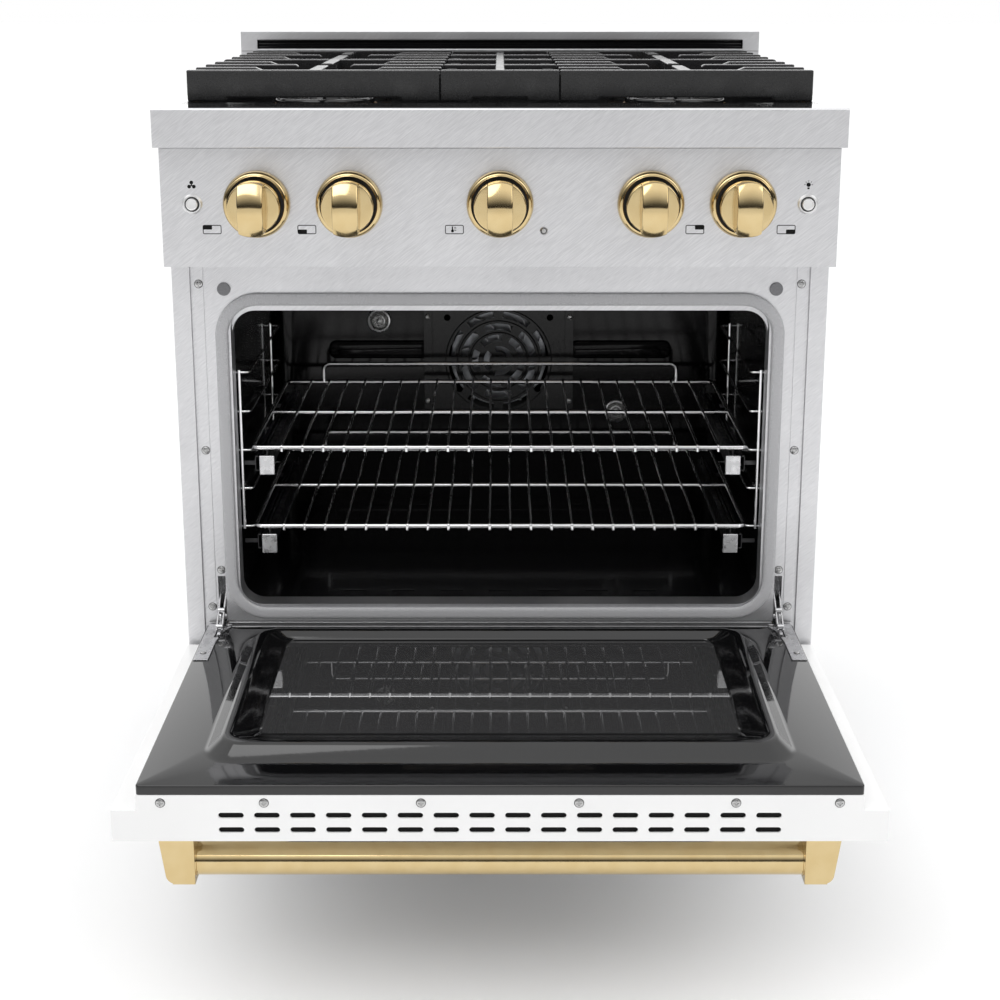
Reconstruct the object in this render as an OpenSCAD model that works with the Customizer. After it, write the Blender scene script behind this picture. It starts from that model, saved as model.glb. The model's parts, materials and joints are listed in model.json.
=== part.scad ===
// Freestanding gas range, 30 inch class, with a drop-down oven door drawn open.
// Inside the modules local y = 0 is the face of the oven's front frame and +y runs to the back.

/* [Body] */
// Width across the side panels
body_w = 760; // [740:2:780]
// Depth from the front frame to the rear panel
body_d = 640; // [630:5:660]
// Height of the underside of the body above the floor
leg_h = 100; // [80:5:120]
// Height of the cooktop above the floor
cooktop_z = 914; // [910:1:920]
// Height of the backguard above the cooktop
backguard_h = 62; // [50:1:90]
// Thickness of the folded sheet metal
sheet = 2; // [1.5:0.5:2.5]

/* [Oven] */
// Width of the oven opening
open_w = 634; // [630:1:636]
// Height of the opening's lower edge
open_z0 = 311; // [309:1:312]
// Height of the opening's upper edge
open_z1 = 685; // [680:1:690]
// Corner radius of the opening
open_r = 30; // [20:1:40]
// Depth of the cavity from the frame plane
cavity_d = 420; // [410:5:430]
// Height of the upper rack's wires
rack_upper_z = 504; // [500:1:508]
// Height of the lower rack's wires
rack_lower_z = 405; // [400:1:408]

/* [Door] */
// Length of the door from its hinge end to its tip
door_len = 424; // [420:1:426]
// Height of the hinge axis
hinge_z = 298; // [296:1:299]
// Diameter of the handle bar
handle_d = 34; // [28:1:36]

/* [Controls] */
// Height of the knob centres
knob_z = 807; // [800:1:812]
// Distance of the inner burner knobs from the middle
knob_x1 = 168; // [160:1:175]
// Distance of the outer burner knobs from the middle
knob_x2 = 271; // [262:1:276]
// Diameter of a knob's disc
knob_d = 60; // [54:1:62]
// Travel of a knob when it is pushed in
knob_push = 3.5; // [2:0.5:3.5]

/* [Cooktop] */
// Distance of the burners from the middle
burner_x = 214.75; // [210:0.25:216]
// Height of the grates' top
grate_top_z = 949; // [945:1:955]
// Width of a cast bar
bar_w = 12; // [10:1:13]

/* [Hidden] */
$fn = 48;

// Overall places
half_w = body_w / 2;
inlet_len = 20;
inlet_r = 10.65;
screw_head = 1.6;
door_gap = 4;
door_tip = door_gap + door_len;
front_y = (door_tip + screw_head - body_d - inlet_len) / 2;
side_top = cooktop_z - 44;
shell_x = half_w - sheet;
flange_w = 21;
leg_x = half_w - 55;
leg_y = [55, body_d - 60];

// Front frame and cavity
frame_x = 354.5;
frame_t = 3;
frame_z0 = leg_h + 192;
panel_z0 = 736;
panel_z1 = side_top - 1;
panel_face = -50;
open_x = open_w / 2;
lip_t = 3;
lip_d = 26;
wall = 3;
cavity_z0 = 262;
cavity_z1 = open_z1 + 5;
gasket_w = 14.6;
gasket_t = 5.5;
shaft_r = 4;
run_gap = 0.05;
fan_x = -2;
fan_z = 528;
baffle_y = 394;
lamp_spots = [[-171, 581], [166, 449]];

// Racks and their slides, per side: rail faces across the width
rack_x = 301;
rack_front = 27.5;
rack_depth = 340;
rack_bar_r = 3;
wire_r = 1.7;
wire_pitch = 25;
wire_count = 22;
rail_drop = [10, 33];
rail_fixed = [292, 296];
rail_middle = [286.5, 290];
rail_moving = [278, 284.5];
ladder_x = 310;
tab_x = 304;
ladder_y = [30, 310];
ladder_rungs = [404, 452, 500, 548, 596];

// Door, drawn open: its lining is the upper face
door_top = hinge_z - 8;
door_bottom = door_top - 59;
skirt_z = door_top - 10;
band_z = door_bottom + 33;
liner_x = 355;
plug_rise = 15;
window_d = [68, 323];
window_x = 250;
hinge_y = 2;
hinge_x = 336.5;
plate_t = 1.2;
handle_y = -(door_tip - 60);
handle_z = door_bottom - 51;
handle_x = 308.5;
vent_pitch = 35;
vent_count = 16;

// Cooktop
ledge_y = -69;
ledge_back = -12;
pan_x = half_w - 20;
pan_z = cooktop_z - 26;
burner_y = [178, 453];
burner_r = 63.5;
grate_y0 = 41;
grate_y1 = 590;
grate_pitch = (grate_y1 - grate_y0) / 8;
grate_x = 360;
centre_x = 68.5;
back_y = body_d - 40;

// Controls
knob_xs = [-knob_x2, -knob_x1, 0, knob_x1, knob_x2];
bezel_h = 12;
inlet_x = half_w - 45;
manifold_y = 20;
knob_back = panel_face - bezel_h - 4;
knob_disc_t = 16;
knob_front = panel_face - 60;
button_x = 343;
button_r = 7;

module at_frame() {
    translate([0, front_y, 0]) children();
}

// A box between low and high limits on each axis.
module block(x, y, z) {
    translate([x[0], y[0], z[0]]) cube([x[1] - x[0], y[1] - y[0], z[1] - z[0]]);
}

module both_sides() {
    children();
    mirror([1, 0, 0]) children();
}

// Round bars along each axis; sides = 8 makes an eight-sided wire.
module rod_x(r, x, y, z, sides = 32) {
    translate([x[0], y, z]) rotate([0, 90, 0]) cylinder(r = r, h = x[1] - x[0], $fn = sides);
}

module rod_y(r, x, y, z, sides = 32) {
    translate([x, y[0], z]) rotate([-90, 0, 0]) cylinder(r = r, h = y[1] - y[0], $fn = sides);
}

module rod_z(r, x, y, z, sides = 32) {
    translate([x, y, z[0]]) cylinder(r = r, h = z[1] - z[0], $fn = sides);
}

// A rectangle of half-width x between two heights with exact round corners.
module round_rect(x, z, r) {
    union() {
        translate([-x + r, z[0]]) square([2 * (x - r), z[1] - z[0]]);
        translate([-x, z[0] + r]) square([2 * x, z[1] - z[0] - 2 * r]);
        for (sx = [-1, 1]) for (cz = [z[0] + r, z[1] - r]) translate([sx * (x - r), cz]) circle(r = r);
    }
}

// An outline in x and z pushed along y.
module plate_y(y) {
    translate([0, y[1], 0]) rotate([90, 0, 0]) linear_extrude(height = y[1] - y[0]) children();
}

// An outline in y and z pushed along x.
module plate_x(x) {
    translate([x[0], 0, 0]) rotate([90, 0, 90]) linear_extrude(height = x[1] - x[0]) children();
}

// ---- Body ----

module side_panel() {
    color("gainsboro") at_frame() {
        block([shell_x, half_w], [0, body_d], [leg_h, side_top]);
        block([half_w - flange_w, shell_x], [0, sheet], [leg_h, panel_z0]);
        block([half_w - flange_w, shell_x], [body_d - sheet, body_d], [leg_h, side_top]);
        block([half_w - flange_w, shell_x], [0, body_d], [leg_h, leg_h + sheet]);
    }
}

module side_panel_left() {
    mirror([1, 0, 0]) side_panel();
}

module side_panel_right() {
    side_panel();
}

module rear_panel() {
    louvre = [60, 6];
    y = [body_d - 2 * sheet, body_d - sheet];
    color("silver") at_frame() difference() {
        block([-shell_x, shell_x], y, [leg_h + sheet, side_top]);
        rod_y(16, inlet_x, [y[0] - 1, y[1] + 1], knob_z);
        rod_y(8, -inlet_x, [y[0] - 1, y[1] + 1], knob_z);
        for (i = [-2 : 2]) for (k = [0 : 4])
            block([i * 90 - louvre[0] / 2, i * 90 + louvre[0] / 2], [y[0] - 1, y[1] + 1],
                  [200 + 14 * k, 200 + 14 * k + louvre[1]]);
    }
}

module base_pan() {
    color("silver") at_frame() difference() {
        union() {
            block([-shell_x, shell_x], [sheet, body_d - 2 * sheet], [leg_h + sheet, leg_h + 2 * sheet]);
            block([-shell_x, shell_x], [body_d - 3 * sheet, body_d - 2 * sheet],
                  [leg_h + sheet, leg_h + 22]);
        }
        for (sx = [-1, 1]) for (y = leg_y) rod_z(6, sx * leg_x, y, [leg_h - 1, leg_h + 10]);
    }
}

module kick_plate() {
    color("gainsboro") at_frame() {
        difference() {
            block([-frame_x, frame_x], [0, sheet], [leg_h + 2 * sheet, frame_z0 - 1]);
            for (sx = [-1, 1]) block([sx * hinge_x - 5.5, sx * hinge_x + 5.5], [-1, sheet + 1],
                                     [frame_z0 - 12, frame_z0]);
        }
        block([-frame_x, frame_x], [sheet, 20], [leg_h + 2 * sheet, leg_h + 3 * sheet]);
    }
}

// Each leg is a tube on a pad, with its stud standing up through the base.
module legs() {
    color("silver") at_frame() for (sx = [-1, 1]) for (y = leg_y) {
        rod_z(24, sx * leg_x, y, [0, 8]);
        rod_z(19, sx * leg_x, y, [8, leg_h]);
        rod_z(5.7, sx * leg_x, y, [leg_h, leg_h + 16]);
        rod_z(11, sx * leg_x, y, [leg_h + 2 * sheet, leg_h + 12], 6);
    }
}

// ---- Oven ----

module front_frame() {
    groove = 1;
    recess = 14;
    color("silver") at_frame() difference() {
        union() {
            block([-frame_x, frame_x], [0, frame_t], [frame_z0, panel_z0 + 9]);
            plate_y([0, lip_d]) round_rect(open_x, [open_z0, open_z1], open_r);
        }
        plate_y([-1, recess]) round_rect(open_x - lip_t, [open_z0 + lip_t, open_z1 - lip_t], open_r - lip_t);
        plate_y([recess - 1, lip_d + 1])
            round_rect(open_x - lip_t, [open_z0 + lip_t, open_z1 - 11], open_r - lip_t);
        for (sx = [-1, 1]) {
            block([sx * 343 - 0.85, sx * 343 + 0.85], [-1, groove], [frame_z0 - 1, panel_z0]);
            block([sx * hinge_x - 4.5, sx * hinge_x + 4.5], [-1, frame_t + 1], [285, 350]);
        }
    }
}

module oven_cavity() {
    color("black") at_frame() difference() {
        block([-open_x - wall, open_x + wall], [frame_t, cavity_d + wall],
              [cavity_z0 - wall, cavity_z1 + wall]);
        block([-open_x, open_x], [frame_t - 1, cavity_d], [cavity_z0, cavity_z1]);
        rod_y(shaft_r + 2, fan_x, [cavity_d - 1, cavity_d + wall + 1], fan_z);
        for (p = lamp_spots) rod_y(14, p[0], [cavity_d - 1, cavity_d + wall + 1], p[1]);
    }
}

// The lift-out floor of the oven, over the lower burner.
module oven_floor() {
    y = [lip_d + 1, cavity_d - 0.5];
    x = open_x - 0.5;
    top = open_z0 + 2;
    color("black") at_frame() difference() {
        union() {
            block([-x, x], y, [top - 3, top]);
            for (sx = [-1, 1]) block([sx * (x - 6) - 6, sx * (x - 6) + 6], y, [cavity_z0, top - 3]);
        }
        block([-230, 230], [90, 380], [top - 1.2, top + 1]);
        for (i = [-3 : 3])
            for (yy = [50, 400]) block([i * 60 - 14, i * 60 + 14], [yy - 3, yy + 3], [top - 4, top + 1]);
    }
}

module door_gasket() {
    color("gray") at_frame() difference() {
        plate_y([-gasket_t, 0])
            round_rect(open_x + gasket_w, [open_z0 - gasket_w, open_z1 + 12.5], 50);
        plate_y([-gasket_t - 1, 1]) round_rect(open_x, [open_z0, open_z1], open_r);
    }
}

module insulation() {
    pad = 23;
    color("khaki") at_frame() difference() {
        block([-open_x - wall - pad, open_x + wall + pad], [62, cavity_d + 32],
              [cavity_z0 - wall - pad, cavity_z1 + wall + pad]);
        block([-open_x - wall, open_x + wall], [61, cavity_d + wall], [cavity_z0 - wall, cavity_z1 + wall]);
        rod_y(44, fan_x, [cavity_d - 1, cavity_d + 40], fan_z);
        for (p = lamp_spots) rod_y(20, p[0], [cavity_d - 1, cavity_d + 40], p[1]);
    }
}

// A tube burner under the floor and a plate burner under the roof.
module oven_burners() {
    tube_z = 285;
    color("silver") at_frame() {
        for (sx = [-1, 1]) rod_y(8, sx * 110, [60, 380], tube_z);
        rod_x(8, [-110, 110], 60, tube_z);
        rod_x(8, [-110, 110], 380, tube_z);
        rod_y(8, 0, [380, cavity_d], tube_z);
    }
    color("silver") at_frame() {
        difference() {
            block([-130, 130], [80, 340], [cavity_z1 - 26, cavity_z1]);
            block([-122, 122], [88, 332], [cavity_z1 - 27, cavity_z1 - 20]);
        }
        for (i = [-2 : 2]) rod_x(2.5, [-124, 124], 210 + 48 * i, cavity_z1 - 21, 8);
    }
}

// Arc slots of a round grille, cut through the sheet.
module ring_slots(r, w, count, land) {
    for (i = [0 : count - 1])
        rotate([0, 0, i * 360 / count + land])
            rotate_extrude(angle = 360 / count - 2 * land) translate([r - w / 2, -5]) square([w, 10]);
}

module fan_baffle() {
    x = 105;
    z = [458, 606];
    t = 1.5;
    color("dimgray") at_frame() difference() {
        union() {
            block([fan_x - x, fan_x + x], [baffle_y, baffle_y + t], z);
            for (sx = [-1, 1]) block([fan_x + sx * (x - 1) - 1, fan_x + sx * (x - 1) + 1],
                                     [baffle_y + t, cavity_d], [z[0] + 12, z[1] - 12]);
        }
        translate([fan_x, baffle_y, fan_z]) rotate([90, 0, 0]) {
            ring_slots(66, 9, 8, 6);
            ring_slots(49, 9, 6, 8);
            ring_slots(33, 9, 5, 10);
            ring_slots(17, 8, 3, 16);
        }
        for (p = [[-72, 62], [72, 62], [-55, -41], [55, -41]])
            rod_y(4.5, fan_x + p[0], [baffle_y - 1, baffle_y + t + 1], fan_z + p[1]);
    }
}

module fan_motor() {
    y = [cavity_d + wall, cavity_d + 55];
    color("slategray") at_frame() difference() {
        union() {
            rod_y(40, fan_x, y, fan_z);
            rod_y(14, fan_x, [y[1], y[1] + 10], fan_z);
        }
        rod_y(shaft_r + run_gap, fan_x, [y[0] - 1, y[1] - 8], fan_z);
    }
}

module convection_fan() {
    y = [baffle_y + 6, baffle_y + 20];
    blade_r = 68;
    color("silver") at_frame() {
        rod_y(shaft_r, fan_x, [y[0], cavity_d + 44], fan_z);
        difference() {
            rod_y(16, fan_x, y, fan_z);
            rod_y(shaft_r - 0.5, fan_x, [y[0] - 1, y[0] + 0.5], fan_z);
        }
        translate([fan_x, 0, fan_z]) for (i = [0 : 7]) rotate([0, i * 45, 0])
            block([12, blade_r], [y[0] + 1, y[1] - 1], [-1, 1]);
        difference() {
            rod_y(blade_r, fan_x, [y[1] - 2, y[1]], fan_z);
            rod_y(30, fan_x, [y[1] - 3, y[1] + 1], fan_z);
        }
        for (i = [0 : 3]) translate([fan_x, 0, fan_z]) rotate([0, i * 90, 0])
            block([14, 34], [y[1] - 2, y[1]], [-4, 4]);
    }
}

module oven_lamps() {
    color("lightyellow") at_frame() for (p = lamp_spots) {
        rod_y(17, p[0], [cavity_d - 5, cavity_d], p[1]);
        rod_y(13.5, p[0], [cavity_d, cavity_d + 24], p[1]);
    }
}

// Wire side frames that carry the slides.
module rack_ladders() {
    color("lightgray") at_frame() both_sides() {
        for (y = ladder_y) {
            rod_z(3, ladder_x, y, [380, 620], 8);
            for (z = [392, 608]) rod_x(3, [ladder_x, open_x], y, z, 8);
        }
        for (z = ladder_rungs) for (dz = [0, 16]) rod_y(2, ladder_x, ladder_y, z + dz, 8);
        for (rz = [rack_upper_z, rack_lower_z]) for (y = ladder_y)
            block([tab_x, ladder_x], [y - 2, y + 12], [rz - 27, rz - 17]);
    }
}

module rail_bar(x, z) {
    block(x, [rack_front + 5, rack_front + 325], [z - rail_drop[1] + 2, z - rail_drop[0] - 2]);
}

module fixed_rails() {
    color("silver") at_frame() for (z = [rack_upper_z, rack_lower_z]) both_sides() {
        rail_bar(rail_fixed, z);
        for (y = ladder_y) block([rail_fixed[1], tab_x], [y + 4, y + 12], [z - 27, z - 17]);
    }
}

module middle_rails(z) {
    color("silver") at_frame() both_sides() rail_bar(rail_middle, z);
}

module middle_rails_upper() {
    middle_rails(rack_upper_z);
}

module middle_rails_lower() {
    middle_rails(rack_lower_z);
}

// One rack with the moving rails of its slides and their front plates.
module rack(z) {
    y1 = rack_front + rack_depth;
    color("lightgray") at_frame() {
        for (y = [rack_front, rack_front + rack_depth / 2, y1]) rod_x(rack_bar_r, [-rack_x, rack_x], y, z, 8);
        for (sx = [-1, 1]) rod_y(rack_bar_r, sx * (rack_x - rack_bar_r), [rack_front, y1], z, 8);
        for (i = [0 : wire_count - 1])
            rod_y(wire_r, (i - (wire_count - 1) / 2) * wire_pitch, [rack_front - 1, y1 + 1], z + 3, 8);
        for (sx = [-1, 1]) rod_z(rack_bar_r, sx * 246, y1, [z, z + 26], 8);
        rod_x(rack_bar_r, [-246 - rack_bar_r, 246 + rack_bar_r], y1, z + 26, 8);
        both_sides() {
            block(rail_moving, [rack_front + 1, rack_front + 325], [z - rail_drop[1], z - rail_drop[0]]);
            block([271.5, 290], [rack_front - 2.5, rack_front + 1], [z - rail_drop[1] - 1, z - rail_drop[0]]);
            for (y = [rack_front, rack_front + 300])
                block(rail_moving, [y - 2.5, y + 8], [z - rail_drop[0], z]);
        }
    }
}

module rack_upper() {
    rack(rack_upper_z);
}

module rack_lower() {
    rack(rack_lower_z);
}

// ---- Controls ----

module control_panel() {
    color("gainsboro") at_frame() difference() {
        block([-shell_x, shell_x], [panel_face, 0], [panel_z0, panel_z1]);
        block([-shell_x + sheet, shell_x - sheet], [panel_face + sheet, 1], [panel_z0 + sheet, panel_z1 + 1]);
        for (x = knob_xs) rod_y(12, x, [panel_face - 1, panel_face + 3], knob_z);
        for (sx = [-1, 1]) rod_y(10.2, sx * button_x, [panel_face - 1, panel_face + 3], knob_z);
        rod_y(4.2, 49, [panel_face - 1, panel_face + 3], knob_z - 30);
    }
}

// Cone rings behind the knobs, and the sleeves that guide the two buttons.
module control_bezels() {
    color("gold") at_frame() for (x = knob_xs)
        translate([x, panel_face, knob_z]) rotate([90, 0, 0]) rotate_extrude()
            polygon([[10, 0], [37.5, 0], [37.5, 3], [33.5, bezel_h], [10, bezel_h]]);
    color("gainsboro") at_frame() for (sx = [-1, 1])
        translate([sx * button_x, panel_face, knob_z]) rotate([90, 0, 0]) rotate_extrude()
            polygon([[button_r + run_gap, -12], [button_r + run_gap, 2.5], [11.5, 2.5], [11.5, 0],
                     [10, 0], [10, -16], [0, -16], [0, -14], [8.5, -14], [8.5, -12]]);
}

module indicator_lamp() {
    color("white") at_frame() {
        rod_y(4.5, 49, [panel_face - 2.5, panel_face], knob_z - 30);
        rod_y(4, 49, [panel_face, panel_face + 8], knob_z - 30);
    }
}

// Manifold pipe with a valve behind each knob, and the feed pipe from the inlet at the back.
module gas_manifold() {
    pipe_r = 9;
    elbow = 12;
    color("darkgray") at_frame() difference() {
        union() {
            rod_x(pipe_r, [-300, inlet_x - elbow], manifold_y, knob_z);
            for (x = knob_xs) {
                block([x - 14, x + 14], [panel_face + 10, -12], [knob_z - 16, knob_z + 16]);
                rod_y(6, x, [-12, manifold_y], knob_z);
            }
            block([inlet_x - elbow, inlet_x + elbow], [manifold_y - elbow, manifold_y + elbow],
                  [knob_z - elbow, knob_z + elbow]);
            rod_y(pipe_r, inlet_x, [manifold_y + elbow, body_d - 10], knob_z);
            rod_y(15, inlet_x, [body_d - 10, body_d], knob_z);
            rod_y(inlet_r, inlet_x, [body_d, body_d + inlet_len], knob_z);
        }
        for (x = knob_xs) rod_y(shaft_r + run_gap, x, [panel_face + 9, panel_face + 36], knob_z);
        rod_y(7, inlet_x, [body_d + 2, body_d + inlet_len + 1], knob_z);
    }
}

module spindle(x) {
    color("silver") at_frame() rod_y(shaft_r, x, [knob_front + 22, panel_face + 32], knob_z);
}

module spindle_left_rear() {
    spindle(-knob_x2);
}

module spindle_left_front() {
    spindle(-knob_x1);
}

module spindle_oven() {
    spindle(0);
}

module spindle_right_front() {
    spindle(knob_x2);
}

module spindle_right_rear() {
    spindle(knob_x1);
}

module knob(x) {
    grip_w = 28;
    disc_front = knob_back - knob_disc_t;
    color("gold") at_frame() translate([x, 0, knob_z]) difference() {
        union() {
            rod_y(knob_d / 2, 0, [disc_front, knob_back], 0);
            intersection() {
                block([-grip_w / 2, grip_w / 2], [knob_front, disc_front], [-knob_d / 2, knob_d / 2]);
                rod_y(knob_d / 2 - 1.5, 0, [knob_front - 1, disc_front + 1], 0);
            }
        }
        rod_y(shaft_r + run_gap, 0, [knob_front + 22 - knob_push - 3, knob_back + 1], 0);
    }
}

module knob_left_rear() {
    knob(-knob_x2);
}

module knob_left_front() {
    knob(-knob_x1);
}

module knob_oven() {
    knob(0);
}

module knob_right_front() {
    knob(knob_x2);
}

module knob_right_rear() {
    knob(knob_x1);
}

module button(x) {
    color("white") at_frame() rod_y(button_r, x, [panel_face - 5.5, panel_face + 9], knob_z);
}

module fan_button() {
    button(-button_x);
}

module light_button() {
    button(button_x);
}

// ---- Cooktop ----

// The steel surround: a rounded ledge across the front and a strip along each side.
module cooktop_frame() {
    r = 2.5;
    top_t = 6;
    x = half_w + 1;
    low = side_top + 1;
    color("gainsboro") at_frame() {
        difference() {
            plate_x([-x, x]) union() {
                translate([ledge_y, low]) square([ledge_back - ledge_y, cooktop_z - low - r]);
                translate([ledge_y + r, low]) square([ledge_back - ledge_y - r, cooktop_z - low]);
                translate([ledge_y + r, cooktop_z - r]) circle(r = r);
            }
            block([-x + sheet, x - sheet], [ledge_y + sheet, ledge_back + 1], [low - 1, cooktop_z - top_t]);
        }
        both_sides() {
            block([pan_x, half_w], [ledge_back, back_y], [cooktop_z - sheet, cooktop_z]);
            block([shell_x, half_w], [ledge_back, back_y], [side_top, cooktop_z - sheet]);
        }
    }
}

module cooktop_pan() {
    t = 2;
    tray_x = pan_x - 7;
    tray_y = [ledge_back + 27, back_y - 7];
    color("black") at_frame() difference() {
        union() {
            block([-pan_x, pan_x], [ledge_back, back_y], [cooktop_z - t, cooktop_z]);
            block([-tray_x - t, tray_x + t], [tray_y[0] - t, tray_y[1] + t], [pan_z - t, cooktop_z - t]);
        }
        block([-tray_x, tray_x], tray_y, [pan_z, cooktop_z + 1]);
        for (sx = [-1, 1]) for (y = burner_y) rod_z(24, sx * burner_x, y, [pan_z - t - 1, pan_z + 1]);
    }
}

module burner_bases() {
    color("dimgray") at_frame() for (sx = [-1, 1]) for (y = burner_y) {
        rod_z(23, sx * burner_x, y, [pan_z - 30, pan_z]);
        rod_z(56, sx * burner_x, y, [pan_z, pan_z + 5]);
        rod_z(3, sx * burner_x, y + 70, [pan_z, pan_z + 20]);
    }
}

module burner_heads() {
    teeth = 24;
    color("goldenrod") at_frame() for (sx = [-1, 1]) for (y = burner_y)
        translate([sx * burner_x, y, pan_z + 5]) difference() {
            cylinder(r = burner_r, h = 10);
            translate([0, 0, 6]) for (i = [0 : teeth - 1]) rotate([0, 0, i * 360 / teeth])
                translate([burner_r - 6, -1.5, 0]) cube([8, 3, 5]);
        }
}

module burner_caps() {
    color("black") at_frame() for (sx = [-1, 1]) for (y = burner_y)
        translate([sx * burner_x, y, pan_z + 15]) rotate_extrude()
            polygon([[0, 0], [61, 0], [61, 3], [56, 7], [26, 5], [22, 9], [0, 9]]);
}

// The tall front or back bar of a grate, cut away under its middle.
module grate_end(x, y) {
    foot = min(42, (x[1] - x[0]) / 4);
    plate_y([y, y + bar_w]) polygon([
        [x[0], cooktop_z], [x[0] + foot, cooktop_z], [x[0] + foot + 4, cooktop_z + 4],
        [x[1] - foot - 4, cooktop_z + 4], [x[1] - foot, cooktop_z], [x[1], cooktop_z],
        [x[1], grate_top_z], [x[0], grate_top_z]]);
}

// A finger from the side bar towards the burner, its tip sloping down if it is tapered.
module finger(x, y, tip, tapered) {
    depth = 14;
    drop = tapered ? 8 : 2;
    run = tapered ? 20 : 3;
    s = sign(tip - x);
    plate_y([y, y + bar_w]) polygon([
        [x, grate_top_z], [tip - s * run, grate_top_z], [tip, grate_top_z - drop],
        [tip, grate_top_z - depth], [x + s * 14, grate_top_z - depth], [x, grate_top_z - 5]]);
}

// Fingers point at the two burners; the bar between the burners runs right across.
module side_grate() {
    x = [centre_x + 1, grate_x];
    mid = (x[0] + x[1]) / 2;
    gap = [0, 55, 32, 55, 0, 55, 32, 55, 0];
    long_gap = 24;
    low = cooktop_z + 12;
    grate_end(x, grate_y0);
    grate_end(x, grate_y1 - bar_w);
    for (k = [1 : 7]) {
        y = grate_y0 + k * grate_pitch - bar_w / 2;
        if (gap[k] == 0) finger(x[0], y, x[1], false);
        if (gap[k] > 0) finger(x[0], y, mid - gap[k], gap[k] > 40);
        if (gap[k] > 0) finger(x[1], y, mid + gap[k], gap[k] > 40);
    }
    for (sx = [x[0] + 8, x[1] - 8 - 10])
        block([sx, sx + 10], [grate_y0, grate_y1], [low, grate_top_z - 6]);
    bars = [[grate_y0 + bar_w, burner_y[0] - long_gap], [burner_y[0] + long_gap, burner_y[1] - long_gap],
            [burner_y[1] + long_gap, grate_y1 - bar_w]];
    for (b = bars) block([mid - 7, mid + 7], b, [grate_top_z - 14, grate_top_z]);
}

module grate_left() {
    color("black") at_frame() mirror([1, 0, 0]) side_grate();
}

module grate_right() {
    color("black") at_frame() side_grate();
}

module grate_centre() {
    x = [-centre_x, centre_x];
    color("black") at_frame() {
        grate_end(x, grate_y0);
        grate_end(x, grate_y1 - bar_w);
        for (k = [2, 4, 6])
            block(x, [grate_y0 + k * grate_pitch - bar_w / 2, grate_y0 + k * grate_pitch + bar_w / 2],
                  [grate_top_z - 14, grate_top_z]);
        for (sx = [-1, 1])
            block([sx * (centre_x - 10) - 5, sx * (centre_x - 10) + 5], [grate_y0, grate_y1],
                  [cooktop_z + 12, grate_top_z - 6]);
        block([-5.25, 5.25], [grate_y0, grate_y1], [grate_top_z - 14, grate_top_z]);
    }
}

module backguard() {
    y = [back_y, body_d];
    z = [side_top, cooktop_z + backguard_h];
    slot_x = half_w - 24;
    color("gainsboro") at_frame() difference() {
        block([-half_w, half_w], y, z);
        block([-half_w + sheet, half_w - sheet], [y[0] + sheet, y[1] - sheet], [z[0] - 1, z[1] - sheet]);
        block([-slot_x, slot_x], [y[0] - 1, y[0] + 3], [z[1] - 25, z[1] - 12]);
    }
}

// The dark slotted strip behind the backguard's vent.
module backguard_grille() {
    x = half_w - 20;
    z = cooktop_z + backguard_h;
    y = [back_y + sheet + 6, back_y + sheet + 8];
    color("black") at_frame() difference() {
        union() {
            block([-x, x], y, [z - 34, z - 5]);
            block([-x, x], [back_y + sheet, y[0]], [z - 34, z - 32]);
            block([-x, x], [back_y + sheet, y[0]], [z - 7, z - 5]);
        }
        for (i = [-9 : 9]) block([i * 38 - 15, i * 38 + 15], [y[0] - 1, y[1] + 1], [z - 21, z - 15]);
    }
}

// ---- Door, hinges and handle ----

// Two thin cheeks in each slot with the hinge pin between them.
module hinge_receivers() {
    color("gray") at_frame() both_sides() {
        for (x = [[332.2, 334], [339, 340.8]]) plate_x(x) union() {
            translate([hinge_y, hinge_z]) circle(r = 7);
            translate([hinge_y, hinge_z - 7]) square([42, 14]);
            translate([12, 287]) square([34, 60]);
        }
        rod_x(shaft_r, [332.2, 340.8], hinge_y, hinge_z);
        block([334, 339], [34, 46], [290, 345]);
        for (x = [[323, 332.2], [340.8, 350]]) block(x, [frame_t, frame_t + 2], [295, 340]);
    }
}

// A strap that turns on the pin and runs down into the door, with a block inside it and a
// cover plate on the lining.
module hinge_arms() {
    t = [334.6, 338.4];
    color("silver") at_frame() both_sides() {
        difference() {
            plate_x(t) union() {
                translate([hinge_y, hinge_z]) circle(r = 7.5);
                polygon([[hinge_y, hinge_z + 7.5], [-14, hinge_z + 2], [-46, door_top - 3],
                         [-64, door_top - 3], [-64, door_top - 18], [-30, door_top - 22],
                         [hinge_y - 5, hinge_z - 5.5]]);
            }
            rod_x(shaft_r + run_gap, [t[0] - 1, t[1] + 1], hinge_y, hinge_z);
        }
        block([t[0] - 6, t[1] + 6], [-120, -50], [door_top - 10, door_top - 2]);
        translate([0, 0, door_top]) linear_extrude(height = plate_t) difference() {
            polygon([[353, -7], [353, -118], [336, -118], [336, -64], [332.5, -34], [325, -16], [325, -7]]);
            translate([hinge_x - 3.6, -50]) square([7.2, 60]);
        }
    }
}

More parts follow.
